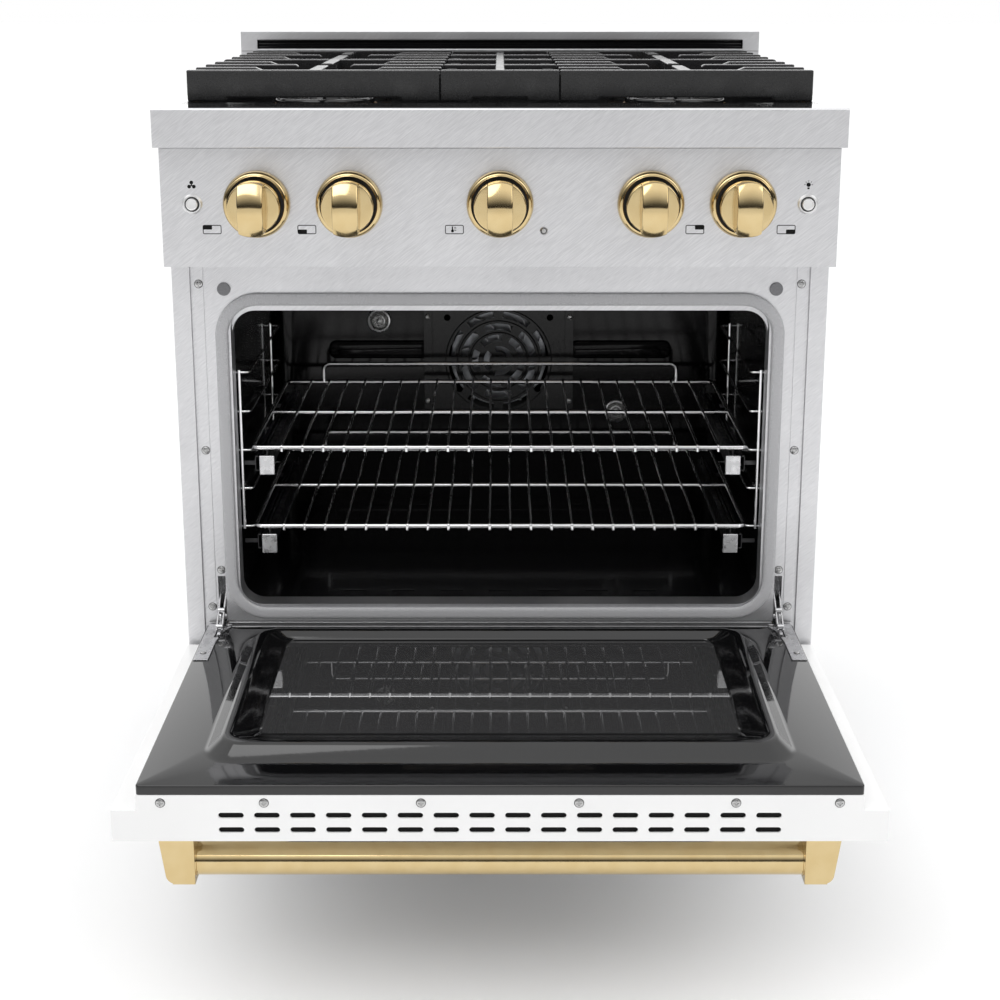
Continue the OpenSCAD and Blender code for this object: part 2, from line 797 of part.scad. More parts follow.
module door_liner() {
    y = [-(door_tip - 1), -door_gap - 1];
    t = 2;
    plug_base = [298, 40, 377];
    plug_top = [282, 54, 362];
    color("black") at_frame() {
        difference() {
            block([-liner_x, liner_x], y, [skirt_z, door_top]);
            block([-liner_x + t, liner_x - t], [y[0] + t, y[1] - t], [skirt_z - 1, door_top - t]);
            block([-268, 268], [-340, -52], [door_top - t - 1, door_top + 1]);
            for (sx = [-1, 1]) block([sx * hinge_x - 5.5, sx * hinge_x + 5.5], [-48, 0],
                                     [skirt_z - 1, door_top + 1]);
        }
        difference() {
            hull() {
                for (sx = [-1, 1]) for (d = [plug_base[1] + 30, plug_base[2] - 30])
                    translate([sx * (plug_base[0] - 30), -d, door_top]) cylinder(r = 30, h = 0.5, $fn = 32);
                for (sx = [-1, 1]) for (d = [plug_top[1] + 20, plug_top[2] - 20])
                    translate([sx * (plug_top[0] - 20), -d, door_top + plug_rise - 0.5])
                        cylinder(r = 20, h = 0.5, $fn = 32);
            }
            block([-266, 266], [-338, -54], [door_top - 1, door_top + 4]);
            translate([0, 0, door_top]) linear_extrude(height = 40)
                round_rect(window_x, [-window_d[1], -window_d[0]], 12);
        }
    }
}

module inner_glass() {
    color([0.2, 0.2, 0.2, 0.5]) at_frame() block([-265, 265], [-337, -55], [door_top - 0.5, door_top + 4]);
}

outer_window = [230, 90, 300];

module outer_glass() {
    color([0.1, 0.1, 0.1, 0.6]) at_frame()
        block([-outer_window[0] - 12, outer_window[0] + 12], [-outer_window[2] - 12, -outer_window[1] + 12],
              [door_bottom + 2, door_bottom + 6]);
}

// The folded outer shell: side bands, a raised middle under the lining and vents in the end.
module door_skin() {
    y = [-door_tip, -door_gap - 2];
    t = 2;
    x = half_w;
    color("white") at_frame() difference() {
        union() {
            block([-x, x], y, [door_bottom, band_z]);
            block([-liner_x, liner_x], y, [band_z - t, skirt_z]);
        }
        block([-x + t, x - t], [y[0] + t, y[1] - t], [door_bottom + t, band_z - t]);
        block([-liner_x + t, liner_x - t], [y[0] + t, y[1] - t], [band_z - t - 1, skirt_z + 1]);
        translate([0, 0, door_bottom - 1]) linear_extrude(height = 4)
            round_rect(outer_window[0], [-outer_window[2], -outer_window[1]], 16);
        for (i = [0 : vent_count - 1]) for (z = [door_bottom + 12, door_bottom + 27.5])
            vent_slot((i - (vent_count - 1) / 2) * vent_pitch, z, y[0]);
        for (sx = [-1, 1]) block([sx * hinge_x - 5.5, sx * hinge_x + 5.5], [y[1] - 3, y[1] + 1],
                                 [skirt_z - 16, skirt_z + 1]);
    }
}

module vent_slot(x, z, y) {
    w = 25;
    r = 3;
    block([x - w / 2 + r, x + w / 2 - r], [y - 1, y + 3], [z - r, z + r]);
    for (s = [-1, 1]) rod_y(r, x + s * (w / 2 - r), [y - 1, y + 3], z);
}

module handle_bar() {
    color("gold") at_frame() rod_x(handle_d / 2, [-handle_x, handle_x], handle_y, handle_z);
}

module handle_posts() {
    deep = handle_d / 2 + 2;
    low = handle_z - handle_d / 2 - 3;
    color("gold") at_frame() both_sides() plate_y([handle_y - deep, handle_y + deep])
        polygon([[handle_x, low], [328, low], [335, low + 3], [339, low + 10], [347, door_bottom],
                 [handle_x, door_bottom]]);
}

module door_screws() {
    color("silver") at_frame() for (x = [-331, -230, -77, 77, 230, 331])
        rod_y(4, x, [-door_tip - screw_head, -door_tip], door_bottom + 41);
    color("silver") at_frame() both_sides() for (p = [[328.7, 12], [344.5, 98]])
        rod_z(3, p[0], -p[1], [door_top + plate_t, door_top + plate_t + 1.4]);
}

module door_bumpers() {
    color("gray") at_frame() for (sx = [-1, 1]) rod_y(7.75, sx * 320, [-2, 0], open_z1 + 17);
}

module body_screws() {
    color("silver") at_frame() both_sides() {
        for (z = [311, 508, 708]) rod_y(4, 349, [-screw_head, 0], z);
        rod_y(4, hinge_x, [-screw_head, 0], 358);
    }
}

module cord_gland() {
    color("black") at_frame() translate([-inlet_x, body_d - 6, knob_z]) rotate([-90, 0, 0]) rotate_extrude()
        polygon([[5, 0], [11, 0], [11, 2], [7.8, 2], [7.8, 4], [11, 4], [11, 10], [5, 10]]);
}

side_panel_left();
side_panel_right();
rear_panel();
base_pan();
kick_plate();
legs();
front_frame();
oven_cavity();
oven_floor();
door_gasket();
insulation();
oven_burners();
fan_baffle();
fan_motor();
oven_lamps();
rack_ladders();
fixed_rails();
control_panel();
control_bezels();
indicator_lamp();
gas_manifold();
cooktop_frame();
cooktop_pan();
backguard();
backguard_grille();
burner_bases();
burner_heads();
burner_caps();
grate_left();
grate_centre();
grate_right();
hinge_receivers();
door_bumpers();
body_screws();
cord_gland();
door_skin();
door_liner();
outer_glass();
inner_glass();
handle_bar();
handle_posts();
hinge_arms();
door_screws();
rack_upper();
rack_lower();
middle_rails_upper();
middle_rails_lower();
knob_left_rear();
knob_left_front();
knob_oven();
knob_right_front();
knob_right_rear();
spindle_left_rear();
spindle_left_front();
spindle_oven();
spindle_right_front();
spindle_right_rear();
fan_button();
light_button();
convection_fan();
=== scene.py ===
"""Looks of a freestanding gas range: enamel, brushed steel, polished gold, wire racks and a white door.

Lengths here are millimetres until a mesh is made. x runs across, y back from the face of the oven's
front frame, and z up from the floor, so that y = 0 is the sheet that the open door meets.
"""

import json
import math

import bmesh
import bpy
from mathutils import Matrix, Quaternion, Vector


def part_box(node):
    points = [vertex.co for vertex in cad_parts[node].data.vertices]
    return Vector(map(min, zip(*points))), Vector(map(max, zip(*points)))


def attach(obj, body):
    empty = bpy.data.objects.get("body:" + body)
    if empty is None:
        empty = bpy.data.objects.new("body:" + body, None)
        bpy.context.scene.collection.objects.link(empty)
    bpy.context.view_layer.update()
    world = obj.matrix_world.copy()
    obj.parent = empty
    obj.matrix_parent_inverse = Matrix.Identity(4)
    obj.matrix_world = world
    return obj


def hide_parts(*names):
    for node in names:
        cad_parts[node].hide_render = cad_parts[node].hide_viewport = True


MM = 0.001
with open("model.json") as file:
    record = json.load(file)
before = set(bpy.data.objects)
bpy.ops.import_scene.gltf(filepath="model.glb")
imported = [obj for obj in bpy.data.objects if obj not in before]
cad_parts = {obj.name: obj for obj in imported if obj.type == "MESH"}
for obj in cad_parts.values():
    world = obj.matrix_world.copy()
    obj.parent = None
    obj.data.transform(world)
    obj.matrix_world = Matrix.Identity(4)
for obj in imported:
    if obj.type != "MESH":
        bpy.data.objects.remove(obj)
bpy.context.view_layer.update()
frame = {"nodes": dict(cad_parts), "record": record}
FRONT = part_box("front_frame")[0].y
SLOT_OF = {part["node"]: part["material_slot"] for part in frame["record"]["subparts"]}
BODY_OF = {node: body for body, nodes in frame["record"]["behaviour"]["bodies"].items() for node in nodes}


def at(point):
    """A point in millimetres, as the frame has it in metres."""
    return Vector((point[0] * MM, point[1] * MM + FRONT, point[2] * MM))


def span(node):
    """The lowest and highest corner of a CAD node, in this script's millimetres."""
    low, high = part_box(node)
    shift = Vector((0, FRONT, 0))
    return (low - shift) / MM, (high - shift) / MM


def middle(node):
    """The middle of a CAD node's box, in this script's millimetres."""
    low, high = span(node)
    return (low + high) / 2


# ---- Mesh building ----


def around(sides):
    """The angles of a full turn in equal steps."""
    return [2 * math.pi * i / sides for i in range(sides)]


class Shape:
    """Points and faces of one mesh, in millimetres."""

    def __init__(self):
        self.points = []
        self.faces = []

    def ring(self, points):
        first = len(self.points)
        self.points += [tuple(p) for p in points]
        return list(range(first, len(self.points)))

    def bridge(self, a, b):
        for i in range(len(a)):
            j = (i + 1) % len(a)
            self.faces.append((a[i], a[j], b[j], b[i]))

    def loft(self, loops, closed=False):
        """A skin over loops of equal length, with a flat face on each end unless it is closed."""
        rings = [self.ring(loop) for loop in loops]
        for a, b in zip(rings, rings[1:]):
            self.bridge(a, b)
        if closed:
            self.bridge(rings[-1], rings[0])
        else:
            self.faces.append(tuple(reversed(rings[0])))
            self.faces.append(tuple(rings[-1]))
        return rings

    def grid(self, rows):
        """An open sheet over rows of points of equal length."""
        lines = [self.ring(row) for row in rows]
        for a, b in zip(lines, lines[1:]):
            for i in range(len(a) - 1):
                self.faces.append((a[i], a[i + 1], b[i + 1], b[i]))
        return lines

    def lathe(self, profile, centre, axis="y", sides=64, closed=False):
        """Turns a profile of (radius, place along the axis) about an axis through centre."""
        u, v, w = AXES[axis]
        centre = Vector(centre)
        loops = []
        for radius, along in profile:
            hub = centre + w * along
            loops.append([hub + radius * (math.cos(t) * u + math.sin(t) * v) for t in around(sides)])
        return self.loft(loops, closed)

    def tube(self, path, radius, sides=12, closed=False):
        """A round bar along a path."""
        self.loft(sweep(path, circle(radius, sides), closed), closed)

    def slab(self, outline, low, high, view="front"):
        """A flat outline with thickness. The view says which way it faces."""
        place = VIEWS[view]
        self.loft([[place(u, v, w) for u, v in outline] for w in (low, high)])

    def hoop(self, outer, inner, low, high, view="front"):
        """A flat band between two outlines of equal length."""
        place = VIEWS[view]
        edges = [(outer, low), (inner, low), (inner, high), (outer, high)]
        self.loft([[place(u, v, w) for u, v in edge] for edge, w in edges], closed=True)

    def block(self, x, y, z, round_by=0.0):
        """A box with its upright edges rounded."""
        outline = rounded(x[0], x[1], y[0], y[1], round_by, 3) if round_by else rectangle(x, y)
        self.slab(outline, z[0], z[1], "top")


AXES = {
    "x": (Vector((0, 1, 0)), Vector((0, 0, 1)), Vector((1, 0, 0))),
    "y": (Vector((1, 0, 0)), Vector((0, 0, 1)), Vector((0, 1, 0))),
    "z": (Vector((1, 0, 0)), Vector((0, 1, 0)), Vector((0, 0, 1))),
}
VIEWS = {
    "front": lambda u, v, w: (u, w, v),
    "top": lambda u, v, w: (u, v, w),
    "side": lambda u, v, w: (w, u, v),
}


def circle(radius, sides):
    return [(radius * math.cos(t), radius * math.sin(t)) for t in around(sides)]


def rectangle(x, y):
    return [(x[1], y[0]), (x[1], y[1]), (x[0], y[1]), (x[0], y[0])]


def rounded(x0, x1, y0, y1, radius, steps=8):
    """A rectangle's outline with round corners, anticlockwise from the lower right one."""
    corners = [(x1 - radius, y0 + radius, -90), (x1 - radius, y1 - radius, 0),
               (x0 + radius, y1 - radius, 90), (x0 + radius, y0 + radius, 180)]
    outline = []
    for cx, cy, start in corners:
        for k in range(steps + 1):
            turn = math.radians(start + 90 * k / steps)
            outline.append((cx + radius * math.cos(turn), cy + radius * math.sin(turn)))
    return outline


def fillet(corners, radius, steps=5, closed=False):
    """The corners of a path or outline, each turned into an arc."""
    flat = len(corners[0]) == 2
    points = [Vector((*c, 0)) if flat else Vector(c) for c in corners]
    path = []
    for i, point in enumerate(points):
        if not closed and i in (0, len(points) - 1):
            path.append(point)
            continue
        back = (points[i - 1] - point).normalized()
        ahead = (points[(i + 1) % len(points)] - point).normalized()
        half = back.angle(ahead) / 2
        centre = point + (back + ahead).normalized() * radius / math.sin(half)
        start = point + back * radius / math.tan(half) - centre
        end = point + ahead * radius / math.tan(half) - centre
        axis = start.cross(end).normalized()
        for k in range(steps + 1):
            path.append(centre + Quaternion(axis, start.angle(end) * k / steps) @ start)
    return [(p.x, p.y) for p in path] if flat else path


def sweep(path, section, closed=False):
    """The section's loops along a path, carried round its turns without twist."""
    points = [Vector(p) for p in path]
    last = len(points) - 1

    def heading(i):
        before = points[i - 1] if closed or i > 0 else points[i]
        after = points[(i + 1) % len(points)] if closed or i < last else points[i]
        return (after - before).normalized()

    along = heading(0)
    side = Vector((0, 0, 1)).cross(along) if abs(along.z) < 0.9 else Vector((1, 0, 0))
    side.normalize()
    for i, point in enumerate(points):
        turned = heading(i)
        side = along.rotation_difference(turned) @ side
        along = turned
        up = along.cross(side)
        yield [point + side * u + up * v for u, v in section]


def arc(centre, radius, start, end, steps=8):
    """Points along an arc, with its angles in degrees."""
    turns = [math.radians(start + (end - start) * k / steps) for k in range(steps + 1)]
    return [(centre[0] + radius * math.cos(t), centre[1] + radius * math.sin(t)) for t in turns]


def cross_head(shape, centre, radius, height, outward):
    """A domed screw head with a cross recess. outward is "-y" or "+z"."""
    rings, sides = 9, 40
    dome = []
    for k in range(1, rings + 1):
        share = k / rings
        loop = []
        for turn in around(sides):
            u, v = share * math.cos(turn), share * math.sin(turn)
            rise = height * math.sqrt(max(0.0, 1 - 0.82 * share * share))
            in_cross = min(abs(u), abs(v)) < 0.15 and max(abs(u), abs(v)) < 0.6
            rise -= 0.55 * height if in_cross else 0
            loop.append(outward_point(centre, u * radius, v * radius, rise, outward))
        dome.append(loop)
    foot = [outward_point(centre, u, v, 0, outward) for u, v in circle(radius, sides)]
    shape.loft(dome + [foot])


def outward_point(centre, u, v, rise, outward):
    """A point of a screw head, beside its centre by u and v and standing out by rise."""
    x, y, z = centre
    return (x + u, y - rise, z + v) if outward == "-y" else (x + u, y + v, z + rise)


# ---- Materials ----


def new_look(name, color, rough, metal=0.0):
    """A material whose shader has its plain values set. Returns the material and its shader."""
    look = bpy.data.materials.new(name)
    look.use_nodes = True
    shader = look.node_tree.nodes["Principled BSDF"]
    shader.inputs["Base Color"].default_value = (*color, 1)
    shader.inputs["Roughness"].default_value = rough
    shader.inputs["Metallic"].default_value = metal
    look.diffuse_color = (*color, 1)
    return look, shader


def grain(look, size, turn=(0, 0, 0), detail=2.0, kind="noise"):
    """A noise or cell pattern whose features have the given size in metres along each turned axis."""
    tree = look.node_tree
    place = tree.nodes.new("ShaderNodeTexCoord")
    mapping = tree.nodes.new("ShaderNodeMapping")
    mapping.vector_type = "TEXTURE"
    mapping.inputs["Scale"].default_value = size
    mapping.inputs["Rotation"].default_value = [math.radians(a) for a in turn]
    tree.links.new(place.outputs["Object"], mapping.inputs["Vector"])
    if kind == "cells":
        pattern = tree.nodes.new("ShaderNodeTexVoronoi")
        pattern.inputs["Scale"].default_value = 1
        tree.links.new(mapping.outputs["Vector"], pattern.inputs["Vector"])
        return pattern.outputs["Distance"]
    pattern = tree.nodes.new("ShaderNodeTexNoise")
    pattern.inputs["Scale"].default_value = 1
    pattern.inputs["Detail"].default_value = detail
    tree.links.new(mapping.outputs["Vector"], pattern.inputs["Vector"])
    return pattern.outputs["Fac"]


def vary(look, shader, source, socket, low, high, spread=(0.3, 0.7)):
    """Lets a pattern move a number of the shader between two values."""
    ramp = look.node_tree.nodes.new("ShaderNodeMapRange")
    ramp.inputs["From Min"].default_value = spread[0]
    ramp.inputs["From Max"].default_value = spread[1]
    ramp.inputs["To Min"].default_value = low
    ramp.inputs["To Max"].default_value = high
    look.node_tree.links.new(source, ramp.inputs["Value"])
    look.node_tree.links.new(ramp.outputs["Result"], shader.inputs[socket])


def tint(look, shader, source, dark, light, spread=(0.35, 0.65)):
    """Lets a pattern move the colour between two colours."""
    ramp = look.node_tree.nodes.new("ShaderNodeValToRGB")
    first, last = ramp.color_ramp.elements
    first.position, last.position = spread
    first.color = (*dark, 1)
    last.color = (*light, 1)
    look.node_tree.links.new(source, ramp.inputs["Fac"])
    look.node_tree.links.new(ramp.outputs["Color"], shader.inputs["Base Color"])


def relief(look, shader, source, depth, strength=0.5):
    """Lets a pattern stand proud of the surface by a depth in metres."""
    bump = look.node_tree.nodes.new("ShaderNodeBump")
    bump.inputs["Strength"].default_value = strength
    bump.inputs["Distance"].default_value = depth
    look.node_tree.links.new(source, bump.inputs["Height"])
    look.node_tree.links.new(bump.outputs["Normal"], shader.inputs["Normal"])


def stainless(name, smooth, rough):
    """Steel with short diagonal brush strokes and faint handling marks."""
    look, shader = new_look(name, (0.68, 0.68, 0.695), rough, 1.0)
    strokes = grain(look, (0.014, 0.0008, 0.0008), (0, -38, 0), 3)
    marks = grain(look, (0.16, 0.16, 0.1), (0, -38, 0), 2)
    tint(look, shader, strokes, (0.63, 0.63, 0.645), (0.775, 0.775, 0.79), (0.36, 0.76))
    vary(look, shader, marks, "Roughness", smooth, rough)
    relief(look, shader, strokes, 0.00004, 0.24)
    return look


def ledge_steel():
    """The same steel with smoother upward faces, so that the ledge mirrors what stands over it."""
    look = stainless("ledge_steel", 0.34, 0.44)
    tree = look.node_tree
    shader = next(node for node in tree.nodes if node.type == "BSDF_PRINCIPLED")
    rough = shader.inputs["Roughness"].links[0].from_socket
    facing = tree.nodes.new("ShaderNodeNewGeometry")
    parts = tree.nodes.new("ShaderNodeSeparateXYZ")
    tree.links.new(facing.outputs["Normal"], parts.inputs["Vector"])
    upward = tree.nodes.new("ShaderNodeMapRange")
    upward.inputs["From Min"].default_value = 0.8
    upward.inputs["To Min"].default_value = 1.0
    upward.inputs["To Max"].default_value = 0.22
    tree.links.new(parts.outputs["Z"], upward.inputs["Value"])
    product = tree.nodes.new("ShaderNodeMath")
    product.operation = "MULTIPLY"
    tree.links.new(rough, product.inputs[0])
    tree.links.new(upward.outputs["Result"], product.inputs[1])
    tree.links.new(product.outputs["Value"], shader.inputs["Roughness"])
    return look


def zinc_sheet():
    """Galvanised sheet with its spangle."""
    look, shader = new_look("zinc_sheet", (0.55, 0.57, 0.58), 0.45, 0.9)
    spangle = grain(look, (0.012, 0.012, 0.012), kind="cells")
    tint(look, shader, spangle, (0.47, 0.49, 0.5), (0.6, 0.62, 0.63), (0.1, 0.8))
    vary(look, shader, spangle, "Roughness", 0.38, 0.55)
    return look


def satin_steel(name, color, rough):
    """Turned or drawn steel with fine lines round it."""
    look, shader = new_look(name, color, rough, 1.0)
    lines = grain(look, (0.02, 0.02, 0.0006), (0, 0, 0), 2)
    vary(look, shader, lines, "Roughness", rough - 0.06, rough + 0.08)
    relief(look, shader, lines, 0.00003, 0.25)
    return look


def enamel(name, color, rough, ripple=0.00012, gloss=0.5):
    """Fired enamel: a glossy coat with a slight orange peel and dust."""
    look, shader = new_look(name, color, rough)
    shader.inputs["Specular IOR Level"].default_value = gloss
    peel = grain(look, (0.006, 0.006, 0.006), detail=1)
    dust = grain(look, (0.0022, 0.0022, 0.0022), detail=3)
    brighter = tuple(c * 1.5 + 0.002 for c in color)
    tint(look, shader, dust, color, brighter, (0.5, 0.8))
    vary(look, shader, dust, "Roughness", rough * 0.85, rough * 1.4)
    relief(look, shader, peel, ripple, 0.2)
    return look


def gasket_braid():
    """Glass-fibre braid: crossed threads with a speckle of bright fibres."""
    look, shader = new_look("gasket_braid", (0.42, 0.42, 0.43), 0.85)
    shader.inputs["Sheen Weight"].default_value = 0.3
    speckle = grain(look, (0.0009, 0.0009, 0.0009), detail=4)
    threads = grain(look, (0.0035, 0.002, 0.0012), (0, 45, 0), 1)
    tint(look, shader, speckle, (0.32, 0.32, 0.33), (0.5, 0.5, 0.515), (0.36, 0.66))
    relief(look, shader, threads, 0.0006, 0.6)
    return look


def mineral_wool():
    """Matted yellow fibre."""
    look, shader = new_look("mineral_wool", (0.62, 0.52, 0.27), 0.95)
    fibres = grain(look, (0.02, 0.003, 0.003), (20, 35, 10), 5)
    tint(look, shader, fibres, (0.45, 0.36, 0.16), (0.74, 0.64, 0.38))
    relief(look, shader, fibres, 0.002, 0.8)
    return look


def burner_steel():
    """Plain steel tube with heat colours."""
    look, shader = new_look("burner_steel", (0.4, 0.37, 0.33), 0.42, 1.0)
    heat = grain(look, (0.06, 0.06, 0.06), detail=3)
    tint(look, shader, heat, (0.3, 0.27, 0.28), (0.5, 0.44, 0.34))
    vary(look, shader, heat, "Roughness", 0.35, 0.55)
    return look


def motor_metal():
    """A plated motor case."""
    look, shader = new_look("motor_metal", (0.35, 0.36, 0.38), 0.4, 0.8)
    scuffs = grain(look, (0.004, 0.004, 0.02), detail=3)
    vary(look, shader, scuffs, "Roughness", 0.33, 0.5)
    return look


def lamp_glass():
    """Thick ribbed glass."""
    look, shader = new_look("lamp_glass", (0.9, 0.9, 0.88), 0.08)
    shader.inputs["Transmission Weight"].default_value = 0.75
    shader.inputs["IOR"].default_value = 1.5
    haze = grain(look, (0.004, 0.004, 0.004), detail=2)
    vary(look, shader, haze, "Roughness", 0.05, 0.16)
    return look


def chrome(name, color, rough):
    """Bright plating with a slight unevenness."""
    look, shader = new_look(name, color, rough, 1.0)
    waves = grain(look, (0.009, 0.009, 0.009), detail=2)
    vary(look, shader, waves, "Roughness", rough * 0.7, rough * 1.5)
    relief(look, shader, waves, 0.0001, 0.15)
    return look


def polished_gold():
    """Lacquered champagne gold with hairline polishing marks."""
    look, shader = new_look("polished_gold", (0.61, 0.475, 0.25), 0.11, 1.0)
    lines = grain(look, (0.03, 0.0009, 0.0005), detail=2)
    haze = grain(look, (0.02, 0.02, 0.02), detail=2)
    tint(look, shader, haze, (0.595, 0.455, 0.235), (0.625, 0.49, 0.265))
    vary(look, shader, lines, "Roughness", 0.08, 0.14)
    relief(look, shader, lines, 0.00002, 0.2)
    return look


def indicator_lens():
    """A clear plastic lens."""
    look, shader = new_look("indicator_lens", (0.6, 0.6, 0.6), 0.15)
    shader.inputs["Transmission Weight"].default_value = 0.3
    cloud = grain(look, (0.002, 0.002, 0.002), detail=2)
    vary(look, shader, cloud, "Roughness", 0.1, 0.22)
    return look


def burner_casting():
    """Die-cast alloy with a sandy skin."""
    look, shader = new_look("burner_casting", (0.34, 0.34, 0.35), 0.55, 0.9)
    sand = grain(look, (0.0012, 0.0012, 0.0012), detail=4)
    tint(look, shader, sand, (0.27, 0.27, 0.28), (0.42, 0.42, 0.43))
    relief(look, shader, sand, 0.0002, 0.5)
    return look


def burner_brass():
    """Machined brass that has browned a little with heat."""
    look, shader = new_look("burner_brass", (0.66, 0.38, 0.13), 0.3, 1.0)
    heat = grain(look, (0.02, 0.02, 0.006), detail=4)
    tint(look, shader, heat, (0.42, 0.21, 0.075), (0.78, 0.48, 0.19))
    vary(look, shader, heat, "Roughness", 0.22, 0.42)
    return look


def grate_iron():
    """Cast iron under matt enamel: pitted, with a satin sheen on its edges."""
    look, shader = new_look("grate_iron", (0.013, 0.013, 0.0135), 0.24)
    shader.inputs["Specular IOR Level"].default_value = 0.6
    pits = grain(look, (0.0011, 0.0011, 0.0011), detail=4)
    wear = grain(look, (0.03, 0.03, 0.03), detail=3)
    tint(look, shader, pits, (0.01, 0.01, 0.0105), (0.02, 0.02, 0.021))
    vary(look, shader, wear, "Roughness", 0.18, 0.3)
    relief(look, shader, pits, 0.00007, 0.2)
    return look


def soft_plastic(name, color, rough):
    """Moulded rubber or plastic with a fine texture."""
    look, shader = new_look(name, color, rough)
    texture = grain(look, (0.0007, 0.0007, 0.0007), detail=2)
    tint(look, shader, texture, tuple(c * 0.85 for c in color), tuple(c * 1.15 for c in color))
    relief(look, shader, texture, 0.0001, 0.4)
    return look


def door_white():
    """White powder coat: gloss with orange peel."""
    look, shader = new_look("door_white", (0.81, 0.81, 0.81), 0.3)
    shader.inputs["Coat Weight"].default_value = 0.4
    shader.inputs["Coat Roughness"].default_value = 0.12
    peel = grain(look, (0.0018, 0.0018, 0.0018), detail=2)
    cloud = grain(look, (0.12, 0.12, 0.12), detail=2)
    tint(look, shader, cloud, (0.8, 0.8, 0.8), (0.825, 0.825, 0.825))
    relief(look, shader, peel, 0.00008, 0.25)
    return look


def dark_glass(name, color, transmission, index):
    """Tinted glass with a trace of smear."""
    look, shader = new_look(name, color, 0.03)
    shader.inputs["Transmission Weight"].default_value = transmission
    shader.inputs["IOR"].default_value = index
    smear = grain(look, (0.05, 0.02, 0.05), (0, 0, 30), 3)
    vary(look, shader, smear, "Roughness", 0.004, 0.022)
    return look


def printed_ink():
    """Silk-screened black ink."""
    look, shader = new_look("printed_ink", (0.006, 0.006, 0.006), 0.6)
    shader.inputs["Specular IOR Level"].default_value = 0.1
    specks = grain(look, (0.0005, 0.0005, 0.0005), detail=2)
    tint(look, shader, specks, (0.004, 0.004, 0.004), (0.01, 0.01, 0.01))
    return look


LOOKS = {
    "stainless": stainless("stainless", 0.34, 0.44),
    "ledge_steel": ledge_steel(),
    "zinc_sheet": zinc_sheet(),
    "leg_steel": satin_steel("leg_steel", (0.6, 0.6, 0.6), 0.35),
    "oven_enamel": enamel("oven_enamel", (0.0025, 0.0025, 0.0028), 0.1, 0.00005, 0.22),
    "liner_enamel": enamel("liner_enamel", (0.003, 0.003, 0.0033), 0.05, 0.00006, 0.66),
    "gasket_braid": gasket_braid(),
    "mineral_wool": mineral_wool(),
    "burner_steel": burner_steel(),
    "baffle_enamel": enamel("baffle_enamel", (0.004, 0.004, 0.0044), 0.2, 0.00006, 0.3),
    "motor_metal": motor_metal(),
    "lamp_glass": lamp_glass(),
    "rack_chrome": chrome("rack_chrome", (0.78, 0.78, 0.79), 0.16),
    "slide_steel": chrome("slide_steel", (0.6, 0.6, 0.61), 0.26),
    # Painted shade: a dark copy of the slide steel, for rails and hooks that stand in the oven's shade.
    "slide_painted_shade": chrome("slide_painted_shade", (0.07, 0.07, 0.072), 0.4),
    "polished_gold": polished_gold(),
    "button_metal": satin_steel("button_metal", (0.8, 0.8, 0.8), 0.45),
    "indicator_lens": indicator_lens(),
    "pipe_metal": chrome("pipe_metal", (0.5, 0.49, 0.45), 0.35),
    "spindle_steel": satin_steel("spindle_steel", (0.55, 0.55, 0.55), 0.3),
    "porcelain_black": enamel("porcelain_black", (0.007, 0.007, 0.0075), 0.12),
    "burner_casting": burner_casting(),
    "burner_brass": burner_brass(),
    "grate_iron": grate_iron(),
    "bumper_rubber": soft_plastic("bumper_rubber", (0.2, 0.2, 0.21), 0.6),
    "screw_steel": chrome("screw_steel", (0.5, 0.5, 0.5), 0.25),
    "gland_plastic": soft_plastic("gland_plastic", (0.025, 0.025, 0.025), 0.5),
    "door_white": door_white(),
    # The index is above that of real glass, for stronger reflections in the pane.
    "door_glass": dark_glass("door_glass", (0.042, 0.042, 0.043), 0.0, 3.3),
    "window_glass": dark_glass("window_glass", (0.015, 0.015, 0.018), 0.2, 1.5),
    "fan_steel": satin_steel("fan_steel", (0.34, 0.34, 0.35), 0.35),
    "ink": printed_ink(),
}


# ---- Pieces and CAD nodes ----


def round_edges(obj, width, segments=2):
    """Rolls the sharp edges over, as folded sheet and castings have them."""
    bevel = obj.modifiers.new("edges", "BEVEL")
    bevel.width = width * MM
    bevel.segments = segments
    bevel.limit_method = "ANGLE"
    bevel.angle_limit = math.radians(32)
    bevel.use_clamp_overlap = True
    shading = obj.modifiers.new("shading", "WEIGHTED_NORMAL")
    shading.keep_sharp = True


def piece(name, shape, slot, body="range_body", replaces=(), edge=0.0, segments=2, crease=35, look=None):
    """Makes a finished object of a shape and sets it on its body. The look is the slot's own, or another."""
    mesh = bpy.data.meshes.new(name)
    mesh.from_pydata([at(p) for p in shape.points], [], shape.faces)
    tidy = bmesh.new()
    tidy.from_mesh(mesh)
    bmesh.ops.recalc_face_normals(tidy, faces=tidy.faces)
    tidy.to_mesh(mesh)
    tidy.free()
    mesh.polygons.foreach_set("use_smooth", [True] * len(mesh.polygons))
    mesh.set_sharp_from_angle(angle=math.radians(crease))
    obj = bpy.data.objects.new(name, mesh)
    bpy.context.scene.collection.objects.link(obj)
    mesh.materials.append(LOOKS[look or slot])
    if edge:
        round_edges(obj, edge, segments)
    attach(obj, body)
    if replaces:
        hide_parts(*replaces)
    return obj


# The middle rails take the slide steel's dark copy, which paints the shade they stand in.
SPECIAL_LOOKS = {"cooktop_frame": "ledge_steel", "middle_rails_upper": "slide_painted_shade",
                 "middle_rails_lower": "slide_painted_shade"}


def dress(node, edge):
    """Gives a CAD node its material and, where it is folded or cast, softened edges."""
    obj = frame["nodes"][node]
    obj.data.materials.clear()
    obj.data.materials.append(LOOKS[SPECIAL_LOOKS.get(node, SLOT_OF[node])])
    if not edge:
        return
    obj.data.polygons.foreach_set("use_smooth", [True] * len(obj.data.polygons))
    weld = obj.modifiers.new("weld", "WELD")
    weld.merge_threshold = 0.00001
    flat = obj.modifiers.new("flat", "DECIMATE")
    flat.decimate_type = "DISSOLVE"
    flat.angle_limit = math.radians(0.5)
    round_edges(obj, edge)


